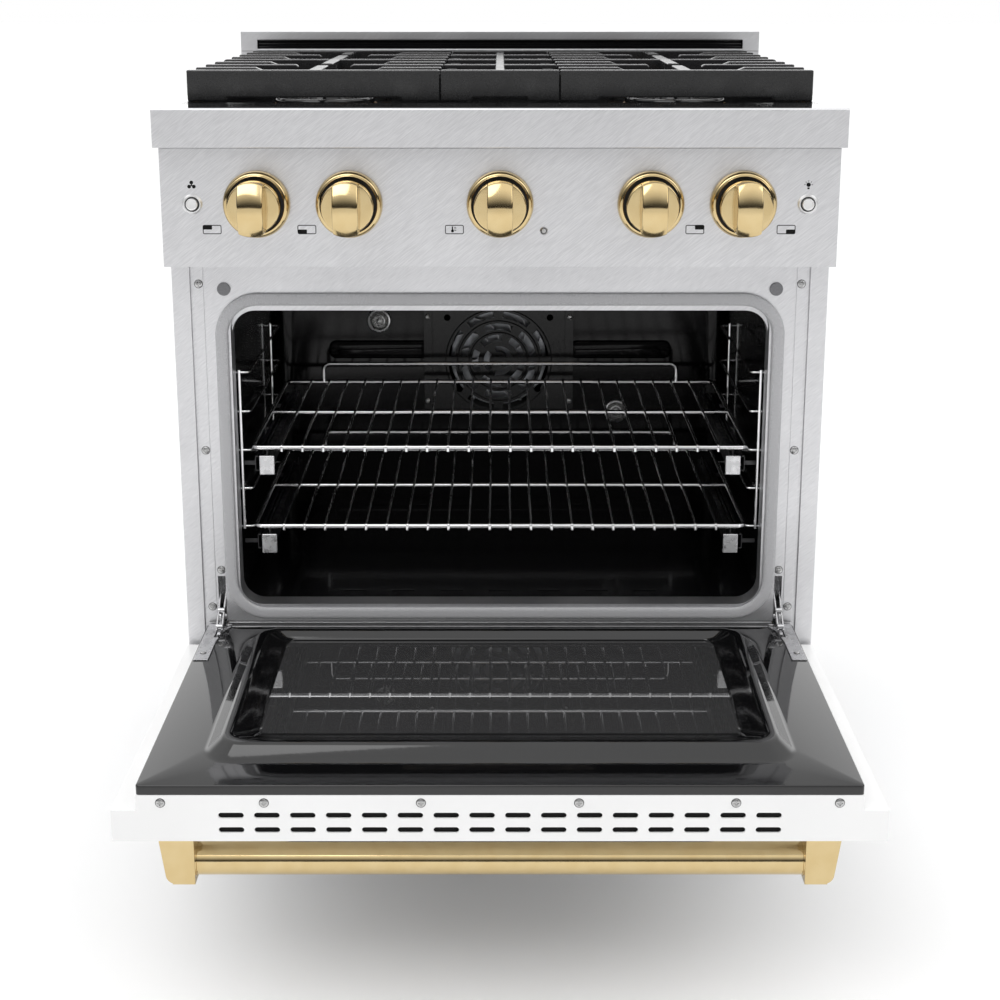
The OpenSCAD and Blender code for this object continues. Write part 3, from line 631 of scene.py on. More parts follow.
EDGES = {
    "side_panel_left": 0.8, "side_panel_right": 0.8, "rear_panel": 0.4, "base_pan": 0.6, "kick_plate": 0.7,
    "legs": 0.8, "front_frame": 0.6, "oven_floor": 0.4, "control_panel": 0.8, "cooktop_frame": 0.5,
    "cooktop_pan": 0.7, "backguard": 0.8, "burner_bases": 1.0, "grate_left": 1.6, "grate_right": 1.6,
    "grate_centre": 1.6, "door_skin": 0.8, "inner_glass": 0.8, "outer_glass": 0.8, "hinge_arms": 0.5,
    "middle_rails_upper": 0.6, "middle_rails_lower": 0.6, "fan_motor": 1.0, "fan_baffle": 0.5,
    "gas_manifold": 0.6, "oven_burners": 0.5, "insulation": 3.0, "cord_gland": 0.4, "door_bumpers": 0.6,
}
for cad_node in frame["nodes"]:
    dress(cad_node, EDGES.get(cad_node, 0.0))


# ---- Racks ----


SLIDE_LENGTH = 325
RACK_DROP = 29
MOVING_RAIL = (278, 284.5)
FIXED_RAIL = (292, 296)


def both_ways(s, places):
    """A span across the width, on the side that s says."""
    return sorted(s * place for place in places)


def make_rack(name):
    """Chromed wires over three cross bars, a raised rail at the back, and the slides' moving rails."""
    node = "rack_" + name
    low, high = span(node)
    bar, wire, pitch, count = 3.0, 1.7, 25.0, 22
    side = high.x - bar
    front = low.y + 2.5
    back = high.y - bar
    top = high.z - bar - 26
    wires = Shape()
    rim = fillet([(-side, front, top), (side, front, top), (side, back, top), (-side, back, top)],
                 9, 6, closed=True)
    wires.tube(rim, bar, 14, closed=True)
    wires.tube([(-side, (front + back) / 2, top), (side, (front + back) / 2, top)], bar, 14)
    for i in range(count):
        x = (i - (count - 1) / 2) * pitch
        tip = front - 2.2
        over = fillet([(tip, top - bar - 1.4), (tip, top + bar), (front + 14, top + bar)], 3, 4)
        wires.tube([(x, y, z) for y, z in over] + [(x, back + 1, top + bar)], wire, 10)
    rail_x = 246
    wires.tube(fillet([(-rail_x, back, top), (-rail_x, back, top + 26), (rail_x, back, top + 26),
                       (rail_x, back, top)], 9, 6), bar, 14)
    piece("rack_wires_" + name, wires, "rack_chrome", BODY_OF[node], [node])

    rails = Shape()
    plates = Shape()
    for s in (-1, 1):
        for start, end in ((10, 12), (31, 33)):
            rails.block(both_ways(s, MOVING_RAIL), (front + 1, front + SLIDE_LENGTH),
                        (top - end, top - start))
        rails.block(both_ways(s, (278, 279.6)), (front + 1, front + SLIDE_LENGTH), (top - 32, top - 11))
        for y in (front + 3, front + 300):
            rails.block(both_ways(s, (280, 281.5)), (y, y + 8), (top - 12, top - 1))
        plates.block(both_ways(s, (271.5, 290)), (front - 2.5, front + 1), (top - 34, top - 10))
    # The rails take the slide steel's dark copy, painted shade.
    piece("rack_rails_" + name, rails, "slide_steel", BODY_OF[node], edge=0.4, look="slide_painted_shade")
    piece("rack_plates_" + name, plates, "slide_steel", BODY_OF[node], edge=1.2, segments=3)


def make_fixed_rails():
    """The fixed channel of each slide, hung on the ladders."""
    rails = Shape()
    for node in ("rack_upper", "rack_lower"):
        top = span(node)[1].z - RACK_DROP
        front = span(node)[0].y + 2.5
        for s in (-1, 1):
            for start, end in ((12, 13.5), (29.5, 31)):
                rails.block(both_ways(s, FIXED_RAIL), (front + 5, front + SLIDE_LENGTH),
                            (top - end, top - start))
            rails.block(both_ways(s, (294.6, 296)), (front + 5, front + SLIDE_LENGTH), (top - 31, top - 12))
    # The channels take the slide steel's dark copy, painted shade.
    piece("slide_channels", rails, "slide_steel", replaces=["fixed_rails"], edge=0.3, look="slide_painted_shade")


def make_ladders():
    """The wire frames on the oven's side walls, with a looped runner at each level."""
    high = span("rack_ladders")[1]
    post = high.x - 6
    runner = high.x - 18
    ends = (30, 310)
    levels = (404, 452, 500, 548, 596)
    wires = Shape()
    hooks = Shape()
    for s in (-1, 1):
        for y in ends:
            wires.tube([(s * post, y, levels[0] - 3), (s * post, y, levels[-1] + 3)], 2.2, 14)
        for z in levels:
            loop = [(s * high.x, ends[0], z), (s * runner, ends[0], z), (s * runner, ends[1], z),
                    (s * high.x, ends[1], z)]
            wires.tube(fillet(loop, 5, 5), 1.5, 12)
        for node in ("rack_upper", "rack_lower"):
            top = span(node)[1].z - RACK_DROP
            for y in ends:
                hooks.block(both_ways(s, (295, post + 1)), (y + 5, y + 6.2), (top - 24, top - 19))
    piece("ladder_wires", wires, "rack_chrome", replaces=["rack_ladders"])
    # The hooks take the slide steel's dark copy, painted shade.
    piece("ladder_hooks", hooks, "slide_steel", look="slide_painted_shade")


# ---- Oven ----


def make_cavity():
    """The enamelled box with rounded corners, and the two pressed channels in its back wall."""
    low, high = span("oven_cavity")
    sheet = 3.0
    x = high.x - sheet
    z = (low.z + sheet, high.z - sheet)
    back = high.y - sheet
    corner, turn = 30.0, 22.0

    def loops(grow):
        found = [[(u, low.y, v) for u, v in rounded(-x - grow, x + grow, z[0] - grow, z[1] + grow, corner)]]
        for k in range(9):
            angle = math.radians(90 * k / 8)
            inset = turn * (1 - math.cos(angle)) - grow
            y = back - turn + turn * math.sin(angle) + grow
            found.append([(u, y, v) for u, v in rounded(-x + inset, x - inset, z[0] + inset, z[1] - inset,
                                                        max(6.0, corner - inset))])
        return found

    box = Shape()
    inner = loops(0)
    outer = loops(sheet)
    box.loft(list(reversed(outer)) + inner)
    piece("cavity_box", box, "oven_enamel", replaces=["oven_cavity"], crease=50)

    channel = Shape()
    cover = span("fan_baffle")
    ends = (-cover[1].x - 140, cover[1].x + 140)
    for s, end in zip((-1, 1), ends):
        u = sorted((end, s * (cover[1].x - 4)))
        rows = [[(x, back - rise, v) for x, v in rounded(u[0] + inset, u[1] - inset, 526 + inset, 552 - inset,
                                                         10 - inset, 6)]
                for inset, rise in ((0, -0.5), (0, 0.6), (1.4, 2.2), (3.2, 2.8))]
        channel.loft(rows)
    piece("cavity_channels", channel, "oven_enamel", crease=60)


def make_returns():
    """The folded strip that closes the gap between the front frame and each side's flange."""
    low, high = span("front_frame")
    flange = 359.0
    strips = Shape()
    for s in (-1, 1):
        strips.block(sorted((s * (high.x - 0.4), s * (flange + 0.4))), (low.y + 3, low.y + 4.2),
                     (span("kick_plate")[0].z + 1, high.z - 1))
    piece("frame_returns", strips, "stainless")


def make_gasket():
    """The braided seal round the opening, laid in one length with its ends meeting below."""
    low, high = span("door_gasket")
    width = 14.6
    radius = 43.0
    half = width / 2
    centre = rounded(low.x + half, high.x - half, low.z + half, high.z - half, radius, 24)
    seam = (0.0, centre[0][1])
    path = resample([seam] + centre + [seam], 2.4)
    depth = (high.y - low.y) / 2
    braid = Shape()
    rings = []
    for i, (u, v) in enumerate(path):
        before = Vector(path[max(0, i - 1)])
        after = Vector(path[min(len(path) - 1, i + 1)])
        along = (after - before).normalized()
        normal = Vector((along.y, -along.x))
        loop = []
        for turn in around(22):
            weave = 1 + 0.035 * math.sin(i * 1.9 + 3 * turn) * math.sin(i * 1.9 - 3 * turn)
            across = half * 0.97 * weave * math.copysign(abs(math.cos(turn)) ** 0.8, math.cos(turn))
            out = depth * 0.98 * weave * math.copysign(abs(math.sin(turn)) ** 0.8, math.sin(turn))
            loop.append((u + normal.x * across, (low.y + high.y) / 2 - out, v + normal.y * across))
        rings.append(loop)
    braid.loft(rings)
    piece("gasket_braid", braid, "gasket_braid", replaces=["door_gasket"], crease=80)


def resample(path, step):
    """Points at an even distance along a flat path."""
    found = [path[0]]
    carry = step
    for a, b in zip(path, path[1:]):
        length = math.dist(a, b)
        while carry <= length and length > 0:
            share = carry / length
            found.append((a[0] + (b[0] - a[0]) * share, a[1] + (b[1] - a[1]) * share))
            carry += step
        carry -= length
    found.append(path[-1])
    return found


def make_lamps():
    """Two ribbed lamp glasses in plated rings on the back wall."""
    low, high = span("oven_lamps")
    back = span("oven_cavity")[1].y - 3
    rings = Shape()
    glass = Shape()
    for x, z in ((low.x + 17, high.z - 17), (high.x - 17, low.z + 17)):
        rings.lathe([(16.8, back), (16.8, back - 2.4), (15.6, back - 4), (13.4, back - 4.4), (12.6, back - 3),
                     (12.6, back)], (x, 0, z), closed=True)
        loops = []
        for radius, y in ((12.4, -0.5), (12.2, -3), (10.6, -4.4), (7.6, -4.9), (4.0, -5.0), (1.0, -4.4)):
            ribbed = [(radius * (1 + 0.035 * math.cos(18 * t)), t) for t in around(72)]
            loops.append([(x + r * math.cos(t), back + y, z + r * math.sin(t)) for r, t in ribbed])
        glass.loft(loops)
        rings.lathe([(8.2, back - 4.4), (8.2, back - 5.4), (7.0, back - 5.6), (7.0, back - 4.4)],
                    (x, 0, z), closed=True)
        rings.lathe([(4.2, back - 4.6), (3.8, back - 5.6), (2.4, back - 6.2), (0.4, back - 6.4)], (x, 0, z))
    piece("lamp_glasses", glass, "lamp_glass", replaces=["oven_lamps"], crease=80)
    piece("lamp_rings", rings, "screw_steel")


def make_fan():
    """The fan wheel: a thin dark disc with curved blades round it and a hub nut."""
    low, high = span("convection_fan")
    fan = middle("convection_fan")
    wheel = Shape()
    plane = low.y + 14
    blades = 12
    for start in around(blades):
        rows = []
        for side in (-0.5, 0.5):
            for depth in ((low.y + 1, plane - 1) if side < 0 else (plane - 1, low.y + 1)):
                row = []
                for i in range(8):
                    radius = 30 + 37 * i / 7
                    turn = start + 0.5 * (i / 7) ** 1.4
                    across = side * 0.9
                    row.append((fan.x + radius * math.cos(turn) - across * math.sin(turn), depth,
                                fan.z + radius * math.sin(turn) + across * math.cos(turn)))
                rows.append(row)
        lines = wheel.grid(rows + [rows[0]])
        for end in (0, -1):
            wheel.faces.append(tuple(line[end] for line in lines[:4]))
    piece("fan_blades", wheel, "fan_steel", "convection_fan", ["convection_fan"], crease=50)
    disc = Shape()
    disc.lathe([(4, plane - 0.8), (67, plane - 0.8), (67.8, plane), (67, plane + 0.6), (4, plane + 0.6)],
               (fan.x, 0, fan.z), sides=96)
    disc.lathe([(3.9, high.y), (3.9, low.y + 5), (10, low.y + 4), (12, plane - 1), (12, plane)],
               (fan.x, 0, fan.z), sides=40)
    piece("fan_disc", disc, "motor_metal", "convection_fan")
    nut = Shape()
    nut.lathe([(5.5, low.y + 5), (6.2, low.y + 4), (6.2, low.y + 0.8), (5.2, low.y), (1, low.y)],
              (fan.x, 0, fan.z), sides=6)
    piece("fan_nut", nut, "screw_steel", "convection_fan")


def make_baffle_trim():
    """Flanges and screws that hold the fan's cover, and the rolled rim round each ring of slots."""
    low, high = span("fan_baffle")
    fan = middle("convection_fan")
    trim = Shape()
    screws = Shape()
    face = low.y
    for x in (low.x + 2.5, high.x - 2.5):
        trim.block((x - 2.5, x + 2.5), (face + 0.4, face + 3), (low.z + 4, high.z - 4), 0.8)
    for s in (-1, 1):
        seam = fan.x + s * 93
        trim.block((seam - 0.8, seam + 0.8), (face - 0.7, face + 0.5), (low.z, high.z), 0.3)
        for z in (high.z - 15, low.z + 12):
            cross_head(screws, (fan.x + s * 100, face, z), 3.6, 2.0, "-y")
    for radius in (74.5, 57.5, 41):
        path = [(fan.x + u, face, fan.z + v) for u, v in circle(radius, 72)]
        trim.tube(path, 0.9, 8, closed=True)
    piece("baffle_trim", trim, "baffle_enamel")
    piece("baffle_screws", screws, "screw_steel", crease=45)


# ---- Controls ----


KNOBS = ("left_rear", "left_front", "oven", "right_rear", "right_front")


def panel_face():
    """Where the front of the control panel stands."""
    return span("control_panel")[0].y


def make_bezel(name):
    """A domed gold ring with a deep recess that the knob sits in."""
    centre = middle("spindle_" + name)
    panel = panel_face()
    ring = Shape()
    dome = [(37.5 - 4.3 * (1 - math.cos(math.radians(a))), panel - 2.2 - 8.8 * math.sin(math.radians(a)))
            for a in range(0, 91, 10)]
    profile = [(37.5, panel)] + dome + [(32.2, panel - 11.4), (31.5, panel - 11), (31.2, panel - 10),
                                        (31.2, panel - 3), (6, panel - 3), (6, panel)]
    ring.lathe(profile, (centre.x, 0, centre.z), sides=96, closed=True)
    # Painted shade: the recess's inner wall and floor are lined in black for the shade inside the recess.
    shade_ring = Shape()
    lining = [(31.15, panel - 3), (31.15, panel - 9.6), (30.9, panel - 9.6), (30.9, panel - 3.4),
             (7, panel - 3.4), (7, panel - 3)]
    shade_ring.lathe(lining, (centre.x, 0, centre.z), sides=96, closed=True)
    piece("bezel_shade_" + name, shade_ring, "gland_plastic")
    return piece("bezel_" + name, ring, "polished_gold", crease=40)


def make_knob(name):
    """A disc with a rolled edge, and a broad grip with a bowed face across it."""
    node = "knob_" + name
    low, high = span(node)
    centre = middle("spindle_" + name)
    hub_back = high.y + 8
    face = high.y - 16
    radius = (high.x - low.x) / 2 - 1.0
    disc = Shape()
    edge = [(radius - 1.6 + 1.6 * math.cos(math.radians(a)), face + 1.6 - 1.6 * math.sin(math.radians(a)))
            for a in range(0, 91, 15)]
    disc.lathe([(5, hub_back), (23, hub_back), (23, high.y), (radius - 1, high.y), (radius, high.y - 1)]
               + edge + [(12, face)], (centre.x, 0, centre.z), sides=96)
    piece("knob_disc_" + name, disc, "polished_gold", BODY_OF[node], [node], crease=40)

    grip = Shape()
    half, bow, columns, rows = 14.0, 8.0, 9, 24
    reach = radius + 0.8
    front_rows = []
    back_rows = []
    for j in range(rows + 1):
        t = 2 * j / rows - 1
        front_row = []
        back_row = []
        for i in range(columns):
            u = half * (2 * i / (columns - 1) - 1)
            end = math.sqrt(reach * reach - u * u)
            front_row.append((centre.x + u, low.y + bow * t * t, centre.z + t * end))
            back_row.append((centre.x + u, face + 0.4, centre.z + t * end))
        front_rows.append(front_row)
        back_rows.append(back_row)
    front = grip.grid(front_rows)
    back = grip.grid(back_rows)
    rim = [line[0] for line in front] + front[-1][1:-1] + [line[-1] for line in reversed(front)]
    rim += list(reversed(front[0][1:-1]))
    foot = [line[0] for line in back] + back[-1][1:-1] + [line[-1] for line in reversed(back)]
    foot += list(reversed(back[0][1:-1]))
    grip.bridge(rim, foot)
    piece("knob_grip_" + name, grip, "polished_gold", BODY_OF[node], edge=1.3, segments=3)


def make_button(name):
    """A sprung cap in a ring, with a black ring of painted shade in the gap between them."""
    low, high = span(name)
    centre = middle(name)
    panel = panel_face()
    cap = Shape()
    profile = [(2.0, high.y), (5.6, high.y), (6.6, panel), (6.6, low.y + 0.8), (6.1, low.y + 0.2),
               (5.3, low.y), (4.9, low.y + 0.5), (0.4, low.y + 0.7)]
    cap.lathe(profile, (centre.x, 0, centre.z), sides=64)
    piece(name + "_cap", cap, "button_metal", name, [name])
    sleeve = Shape()
    collar = [(11.4, panel), (11.4, panel - 0.6), (10.4, panel - 1.6), (9.6, panel - 2.4),
              (8.6, panel - 2.5), (8.2, panel - 2), (8.2, panel + 2), (11.4, panel + 2)]
    sleeve.lathe(collar, (centre.x, 0, centre.z), closed=True)
    piece(name + "_ring", sleeve, "button_metal")
    # Painted shade: a black ring fills the gap between the cap and its ring.
    shade_ring = Shape()
    shade_ring.lathe([(8.25, panel - 0.6), (6.75, panel - 0.6), (6.75, panel + 0.6), (8.25, panel + 0.6)],
               (centre.x, 0, centre.z), closed=True)
    piece(name + "_gap", shade_ring, "gland_plastic")


def make_indicator():
    """The burner light: a lens in a plated ring."""
    centre = middle("indicator_lamp")
    panel = panel_face()
    lens = Shape()
    lens.lathe([(2.6, panel), (2.6, panel - 1.6), (2.0, panel - 2.2), (0.4, panel - 2.4)],
               (centre.x, 0, centre.z), sides=32)
    piece("indicator_lens", lens, "indicator_lens", replaces=["indicator_lamp"])
    ring = Shape()
    ring.lathe([(4.4, panel), (4.4, panel - 1.2), (3.9, panel - 1.7), (3.3, panel - 1.2), (3.3, panel)],
               (centre.x, 0, centre.z), sides=40, closed=True)
    piece("indicator_ring", ring, "screw_steel")
    # Painted shade: a black ring fills the gap between the lens and its ring.
    gap = Shape()
    gap.lathe([(3.35, panel), (3.35, panel - 0.5), (2.55, panel - 0.5), (2.55, panel)],
              (centre.x, 0, centre.z), sides=32, closed=True)
    piece("indicator_gap", gap, "gland_plastic")


def make_prints():
    """Plain pictograms: which burner each knob serves, a fan, a lamp and a thermometer."""
    panel = panel_face()
    ink = (panel - 0.12, panel + 0.1)
    knob_z = middle("spindle_oven").z
    icons = Shape()
    icon_z = knob_z - 28.5
    burner_icons = {-322: (-1, 1), -216: (-1, -1), 218: (1, 1), 320: (1, -1)}
    for x in [*burner_icons, -51]:
        outer = rounded(x - 10.5, x + 10.5, icon_z - 5.2, icon_z + 5.2, 2, 4)
        inner = rounded(x - 9.6, x + 9.6, icon_z - 4.3, icon_z + 4.3, 1.1, 4)
        icons.hoop(outer, inner, *ink)
        if x in burner_icons:
            across, up = burner_icons[x]
            u = sorted((x, x + across * 10.2))
            v = sorted((icon_z, icon_z + up * 4.9))
            icons.slab(rounded(*u, *v, 0.9, 3), *ink)
    icons.slab(circle_at(-53.2, icon_z - 1.6, 1.6), *ink)
    icons.slab(rounded(-53.9, -52.5, icon_z - 1.6, icon_z + 3.6, 0.6, 3), *ink)
    for k in range(3):
        icons.slab(rounded(-51.4, -48.9, icon_z - 1.2 + 1.7 * k, icon_z - 0.6 + 1.7 * k, 0.2, 2), *ink)
    fan = middle("fan_button")
    for k in range(3):
        turn = math.radians(120 * k + 90)
        icons.slab(circle_at(fan.x + 3 * math.cos(turn), fan.z + 21 + 3 * math.sin(turn), 2.1), *ink)
    icons.slab(circle_at(fan.x, fan.z + 21, 1.0), *ink)
    light = middle("light_button")
    icons.slab(circle_at(light.x, light.z + 21.6, 2.4), *ink)
    icons.slab(rounded(light.x - 1.2, light.x + 1.2, light.z + 16.6, light.z + 18.6, 0.4, 2), *ink)
    for k in range(5):
        turn = math.radians(45 * k)
        ray = [(light.x + r * math.cos(turn + w), light.z + 21.6 + r * math.sin(turn + w))
               for r, w in ((3.3, -0.09), (4.9, -0.06), (4.9, 0.06), (3.3, 0.09))]
        icons.slab(ray, *ink)
    piece("printed_icons", icons, "ink")


def circle_at(u, v, radius):
    return [(u + a, v + b) for a, b in circle(radius, 24)]


# ---- Cooktop ----


def make_vent():
    """Louvres on a strip behind the backguard's slot, both black as painted shade for the dark inside the
    vent, and a painted shade line along the guard's bend.
    """
    low, high = span("backguard_grille")
    # Painted shade: the louvre blades are shaped, but their black and the black strip behind them stand in
    # for the shade inside the vent.
    strip = Shape()
    strip.block((low.x, high.x), (high.y - 2, high.y), (low.z, high.z))
    for k in range(4):
        z = low.z + 8 + 4.5 * k
        blade = [(high.y - 4.5, z), (high.y - 1.5, z + 2.6), (high.y - 1.5, z + 3.4), (high.y - 4.9, z + 0.6)]
        strip.slab(blade, low.x + 2, high.x - 2, "side")
    piece("vent_shade_louvres", strip, "porcelain_black", replaces=["backguard_grille"])
    guard_low, guard_high = span("backguard")
    # Painted shade: a thin black line along the bend near the guard's top.
    crease_shade = Shape()
    crease_shade.block((guard_low.x + 0.5, guard_high.x - 0.5), (guard_low.y - 0.08, guard_low.y + 0.1),
               (guard_high.z - 28.4, guard_high.z - 27.8))
    piece("backguard_crease_shade", crease_shade, "ink")


def make_burners():
    """Brass rings with ports round them and an enamelled cap on each."""
    head_low, head_high = span("burner_heads")
    cap_low, cap_high = span("burner_caps")
    radius = 63.5
    ports = 24
    sides = ports * 8
    heads = Shape()
    caps = Shape()
    discs = Shape()
    for x in (head_low.x + radius, head_high.x - radius):
        for y in (head_low.y + radius, head_high.y - radius):
            notch = [5.5 if i % 8 in (0, 1, 2) else 0.0 for i in range(sides)]
            loops = []
            for inset, z, cut in ((2, head_low.z, 0), (0, head_low.z + 1.5, 0), (0, head_low.z + 5.6, 0),
                                  (0, head_low.z + 6, 1), (0.6, head_high.z - 0.2, 1), (8, head_high.z, 0)):
                reach = [radius - inset - cut * depth for depth in notch]
                loops.append([(x + r * math.cos(t), y + r * math.sin(t), z)
                              for r, t in zip(reach, around(sides))])
            heads.loft(loops)
            edge = [(61 - 3 * (1 - math.cos(math.radians(a))), cap_low.z + 3 + 4 * math.sin(math.radians(a)))
                    for a in range(0, 91, 15)]
            caps.lathe([(59, cap_low.z), (61, cap_low.z + 1)] + edge + [(54, cap_low.z + 7.1),
                       (30, cap_low.z + 5.4), (24, cap_low.z + 5.6), (22.6, cap_high.z - 0.8),
                       (21.6, cap_high.z - 0.2), (2, cap_high.z - 0.2)], (x, y, 0), "z", 96)
            discs.lathe([(20.8, cap_high.z - 0.2), (20.5, cap_high.z), (1, cap_high.z)], (x, y, 0), "z", 64)
    piece("burner_rings", heads, "burner_brass", replaces=["burner_heads"], crease=30)
    piece("burner_lids", caps, "porcelain_black", replaces=["burner_caps"], crease=30)
    piece("burner_discs", discs, "burner_brass")


# ---- Door ----


def make_liner():
    """The door's pressed lining: a flat border, a raised plug with a rounded crest and the window's edge."""
    low, high = span("door_liner")
    glass_top = span("inner_glass")[1].z
    foot = low.z
    face = high.z - 15

    def loop(x, y, z, radius):
        return [(u, v, z) for u, v in rounded(-x, x, y[0], y[1], radius, 10)]

    near, far = high.y, low.y
    skin = [
        loop(high.x, (far, near), foot, 4), loop(high.x, (far, near), face - 1.2, 4),
        loop(high.x - 0.4, (far + 0.4, near - 0.4), face - 0.35, 4),
        loop(high.x - 1.3, (far + 1.3, near - 1.3), face, 4),
        loop(302, (far + 46, near - 31), face, 34), loop(299, (far + 49, near - 34), face + 0.6, 32),
        loop(297, (far + 51, near - 36), face + 2.2, 31),
        loop(285, (far + 62, near - 46.5), high.z - 2.4, 24),
        loop(283.4, (far + 63.5, near - 48), high.z - 0.8, 23),
        loop(281, (far + 65.5, near - 50), high.z, 21),
        loop(274, (far + 72, near - 56), high.z, 18), loop(271.6, (far + 74.5, near - 58), high.z - 0.9, 17),
        loop(262, (far + 92, near - 61), glass_top + 4.2, 15),
        loop(252, (far + 103, near - 63), glass_top + 2.6, 13),
        loop(250, (far + 104.5, near - 63.6), glass_top + 1.6, 12),
    ]
    under = [
        loop(250, (far + 104.5, near - 63.6), glass_top + 0.1, 12),
        loop(262, (far + 92, near - 61.6), glass_top + 0.1, 15),
        loop(283, (far + 64, near - 49), face - 1.4, 22), loop(high.x - 2, (far + 2, near - 2), face - 2, 4),
        loop(high.x - 2, (far + 2, near - 2), foot, 4),
    ]
    liner = Shape()
    liner.loft(skin + under, closed=True)
    piece("liner_skin", liner, "oven_enamel", "door", ["door_liner"], crease=45, look="liner_enamel")


def make_handle():
    """The gold bar between two shaped posts with a collar at each."""
    low, high = span("handle_bar")
    bar_centre = middle("handle_bar")
    radius = (high.z - low.z) / 2
    bar = Shape()
    bar.lathe([(radius, low.x - 3), (radius, high.x + 3)], (0, bar_centre.y, bar_centre.z), "x", 96)
    for s in (-1, 1):
        inner, outer = s * (high.x - 1.5), s * (high.x + 1)
        bar.lathe([(radius + 0.1, inner), (radius + 1.1, inner + s * 0.4), (radius + 1.1, outer)],
                  (0, bar_centre.y, bar_centre.z), "x", 96)
    piece("handle_rail", bar, "polished_gold", "door", ["handle_bar"])

    post_low, post_high = span("handle_posts")
    posts = Shape()
    for s in (-1, 1):
        reach = post_high.x
        shape_line = [(high.x, post_low.z), (332, post_low.z)]
        shape_line += arc((328, post_low.z + 11), 10.5, -72, -14, 8)
        shape_line += [(reach, post_high.z), (high.x, post_high.z)]
        outline = [(s * u, v) for u, v in shape_line]
        posts.slab(outline, post_low.y, post_high.y)
    piece("handle_ends", posts, "polished_gold", "door", ["handle_posts"], edge=2.2, segments=4)


HINGE_X = 336.5


def make_hinge_links():
    """The sprung link of each hinge, from the door's plate up into its slot in the frame."""
    mid_z = middle("hinge_receivers").z
    links = Shape()
    for s in (-1, 1):
        x = s * HINGE_X
        for side in (-3.2, 3.2):
            path = [(x + side, -33, mid_z - 24), (x + side, -14, mid_z - 9), (x + side, 8, mid_z + 10)]
            links.tube(fillet(path, 8, 4), 1.2, 10)
        for y, z in ((-30, mid_z - 20), (-12, mid_z - 6)):
            links.lathe([(2.4, x - 4.4), (3, x - 3.8), (3, x + 3.8), (2.4, x + 4.4)], (0, y, z), "x", 20)
    piece("hinge_links", links, "slide_steel", "door")


def make_receivers():
    """The hinge pins and the channels behind the frame's slots, wide enough for the links to swing in."""
    low, high = span("hinge_receivers")
    pin = (low.y + 7, low.z + 11)
    receivers = Shape()
    for s in (-1, 1):
        x = s * HINGE_X
        receivers.lathe([(4, x - 4.4), (4, x + 4.4)], (0, *pin), "x", 32)
        for side in (-1, 1):
            receivers.block(sorted((x + side * 4.7, x + side * 6.3)), (3.2, high.y), (low.z, high.z))
            receivers.block(sorted((x + side * 4.7, x + side * 13.3)), (3.2, 5), (295, 340))
        receivers.block((x - 4.7, x + 4.7), (high.y - 10, high.y), (290, 345))
    piece("hinge_channels", receivers, "slide_steel", replaces=["hinge_receivers"])


def make_slot_shade():
    """A black sheet behind the vent slots in the end of the door, painted shade for the dark inside the door.
    """
    low = span("door_skin")[0]
    lining = Shape()
    # Painted shade: a black sheet stands in for the shade behind the slots.
    lining.block((-305, 305), (low.y + 2.5, low.y + 3.5), (low.z + 4, 262))
    piece("slot_shade", lining, "gland_plastic", "door", look="ink")


def make_screws():
    """Cross-head screws on the frame's edge, in the end of the door and on the hinge plates, each with a
    black ring of painted shade round its head.
    """
    body = Shape()
    body_screw_shade = Shape()
    low, high = span("body_screws")
    for s in (-1, 1):
        for x, z in ((349, 311), (349, 508), (349, 708), (HINGE_X, 358)):
            cross_head(body, (s * x, high.y, z), 4.4, high.y - low.y, "-y")
            # Painted shade: a thin black ring round each head stands in for the shadow at its countersink.
            body_screw_shade.hoop(circle_at(s * x, z, 5.1), circle_at(s * x, z, 4.2), high.y - 0.15, high.y)
    piece("frame_screw_heads", body, "screw_steel", replaces=["body_screws"], crease=50)
    piece("frame_screw_shade_rings", body_screw_shade, "gland_plastic")
    door = Shape()
    door_screw_shade = Shape()
    low, high = span("door_screws")
    end = span("door_skin")[0].y
    for x in (-331, -230, -77, 77, 230, 331):
        cross_head(door, (x, end, 272), 4.2, end - low.y, "-y")
        # Painted shade: a thin black ring round each head stands in for the shadow at its countersink.
        door_screw_shade.hoop(circle_at(x, 272, 4.9), circle_at(x, 272, 4.0), end - 0.15, end)
    for s in (-1, 1):
        for x, y in ((328.7, -12), (344.5, -98)):
            cross_head(door, (s * x, y, high.z - 1.4), 3.0, 1.4, "+z")
            # Painted shade: a thin black ring round each head stands in for the shadow at its countersink.
            door_screw_shade.hoop(circle_at(s * x, y, 3.8), circle_at(s * x, y, 2.8),
                            high.z - 1.5, high.z - 1.25, "top")
    piece("door_screw_heads", door, "screw_steel", "door", ["door_screws"], crease=50)
    piece("door_screw_shade_rings", door_screw_shade, "gland_plastic", "door")


for rack_name in ("upper", "lower"):
    make_rack(rack_name)
make_fixed_rails()
make_ladders()
make_cavity()
make_returns()
make_gasket()
make_lamps()
make_fan()
make_baffle_trim()
bezels = [make_bezel(knob_name) for knob_name in KNOBS]
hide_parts("control_bezels")
for knob_name in KNOBS:
    make_knob(knob_name)
for button_name in ("fan_button", "light_button"):
    make_button(button_name)
make_indicator()
make_prints()
make_vent()
make_burners()
make_liner()
make_handle()
make_hinge_links()
make_receivers()
make_slot_shade()
make_screws()


# ---- Studio ----


BACKDROP = 1.0


def make_floor():
    """A plain pale floor."""
    shape = Shape()
    size = 40000
    shape.slab(rectangle((-size, size), (-size, size)), -20, 0, "top")
    mesh = bpy.data.meshes.new("floor")
    mesh.from_pydata([at(p) for p in shape.points], [], shape.faces)
    floor = bpy.data.objects.new("floor", mesh)
    bpy.context.scene.collection.objects.link(floor)
    mesh.materials.append(new_look("floor", (0.9, 0.9, 0.9), 0.7)[0])


def make_light(name, place, target, size, power):
    lamp = bpy.data.lights.new(name, "AREA")
    lamp.shape = "RECTANGLE"
    lamp.size, lamp.size_y = size
    lamp.energy = power
    obj = bpy.data.objects.new(name, lamp)
    obj.location = place
    obj.rotation_euler = (Vector(target) - Vector(place)).to_track_quat("-Z", "Y").to_euler()
    bpy.context.scene.collection.objects.link(obj)


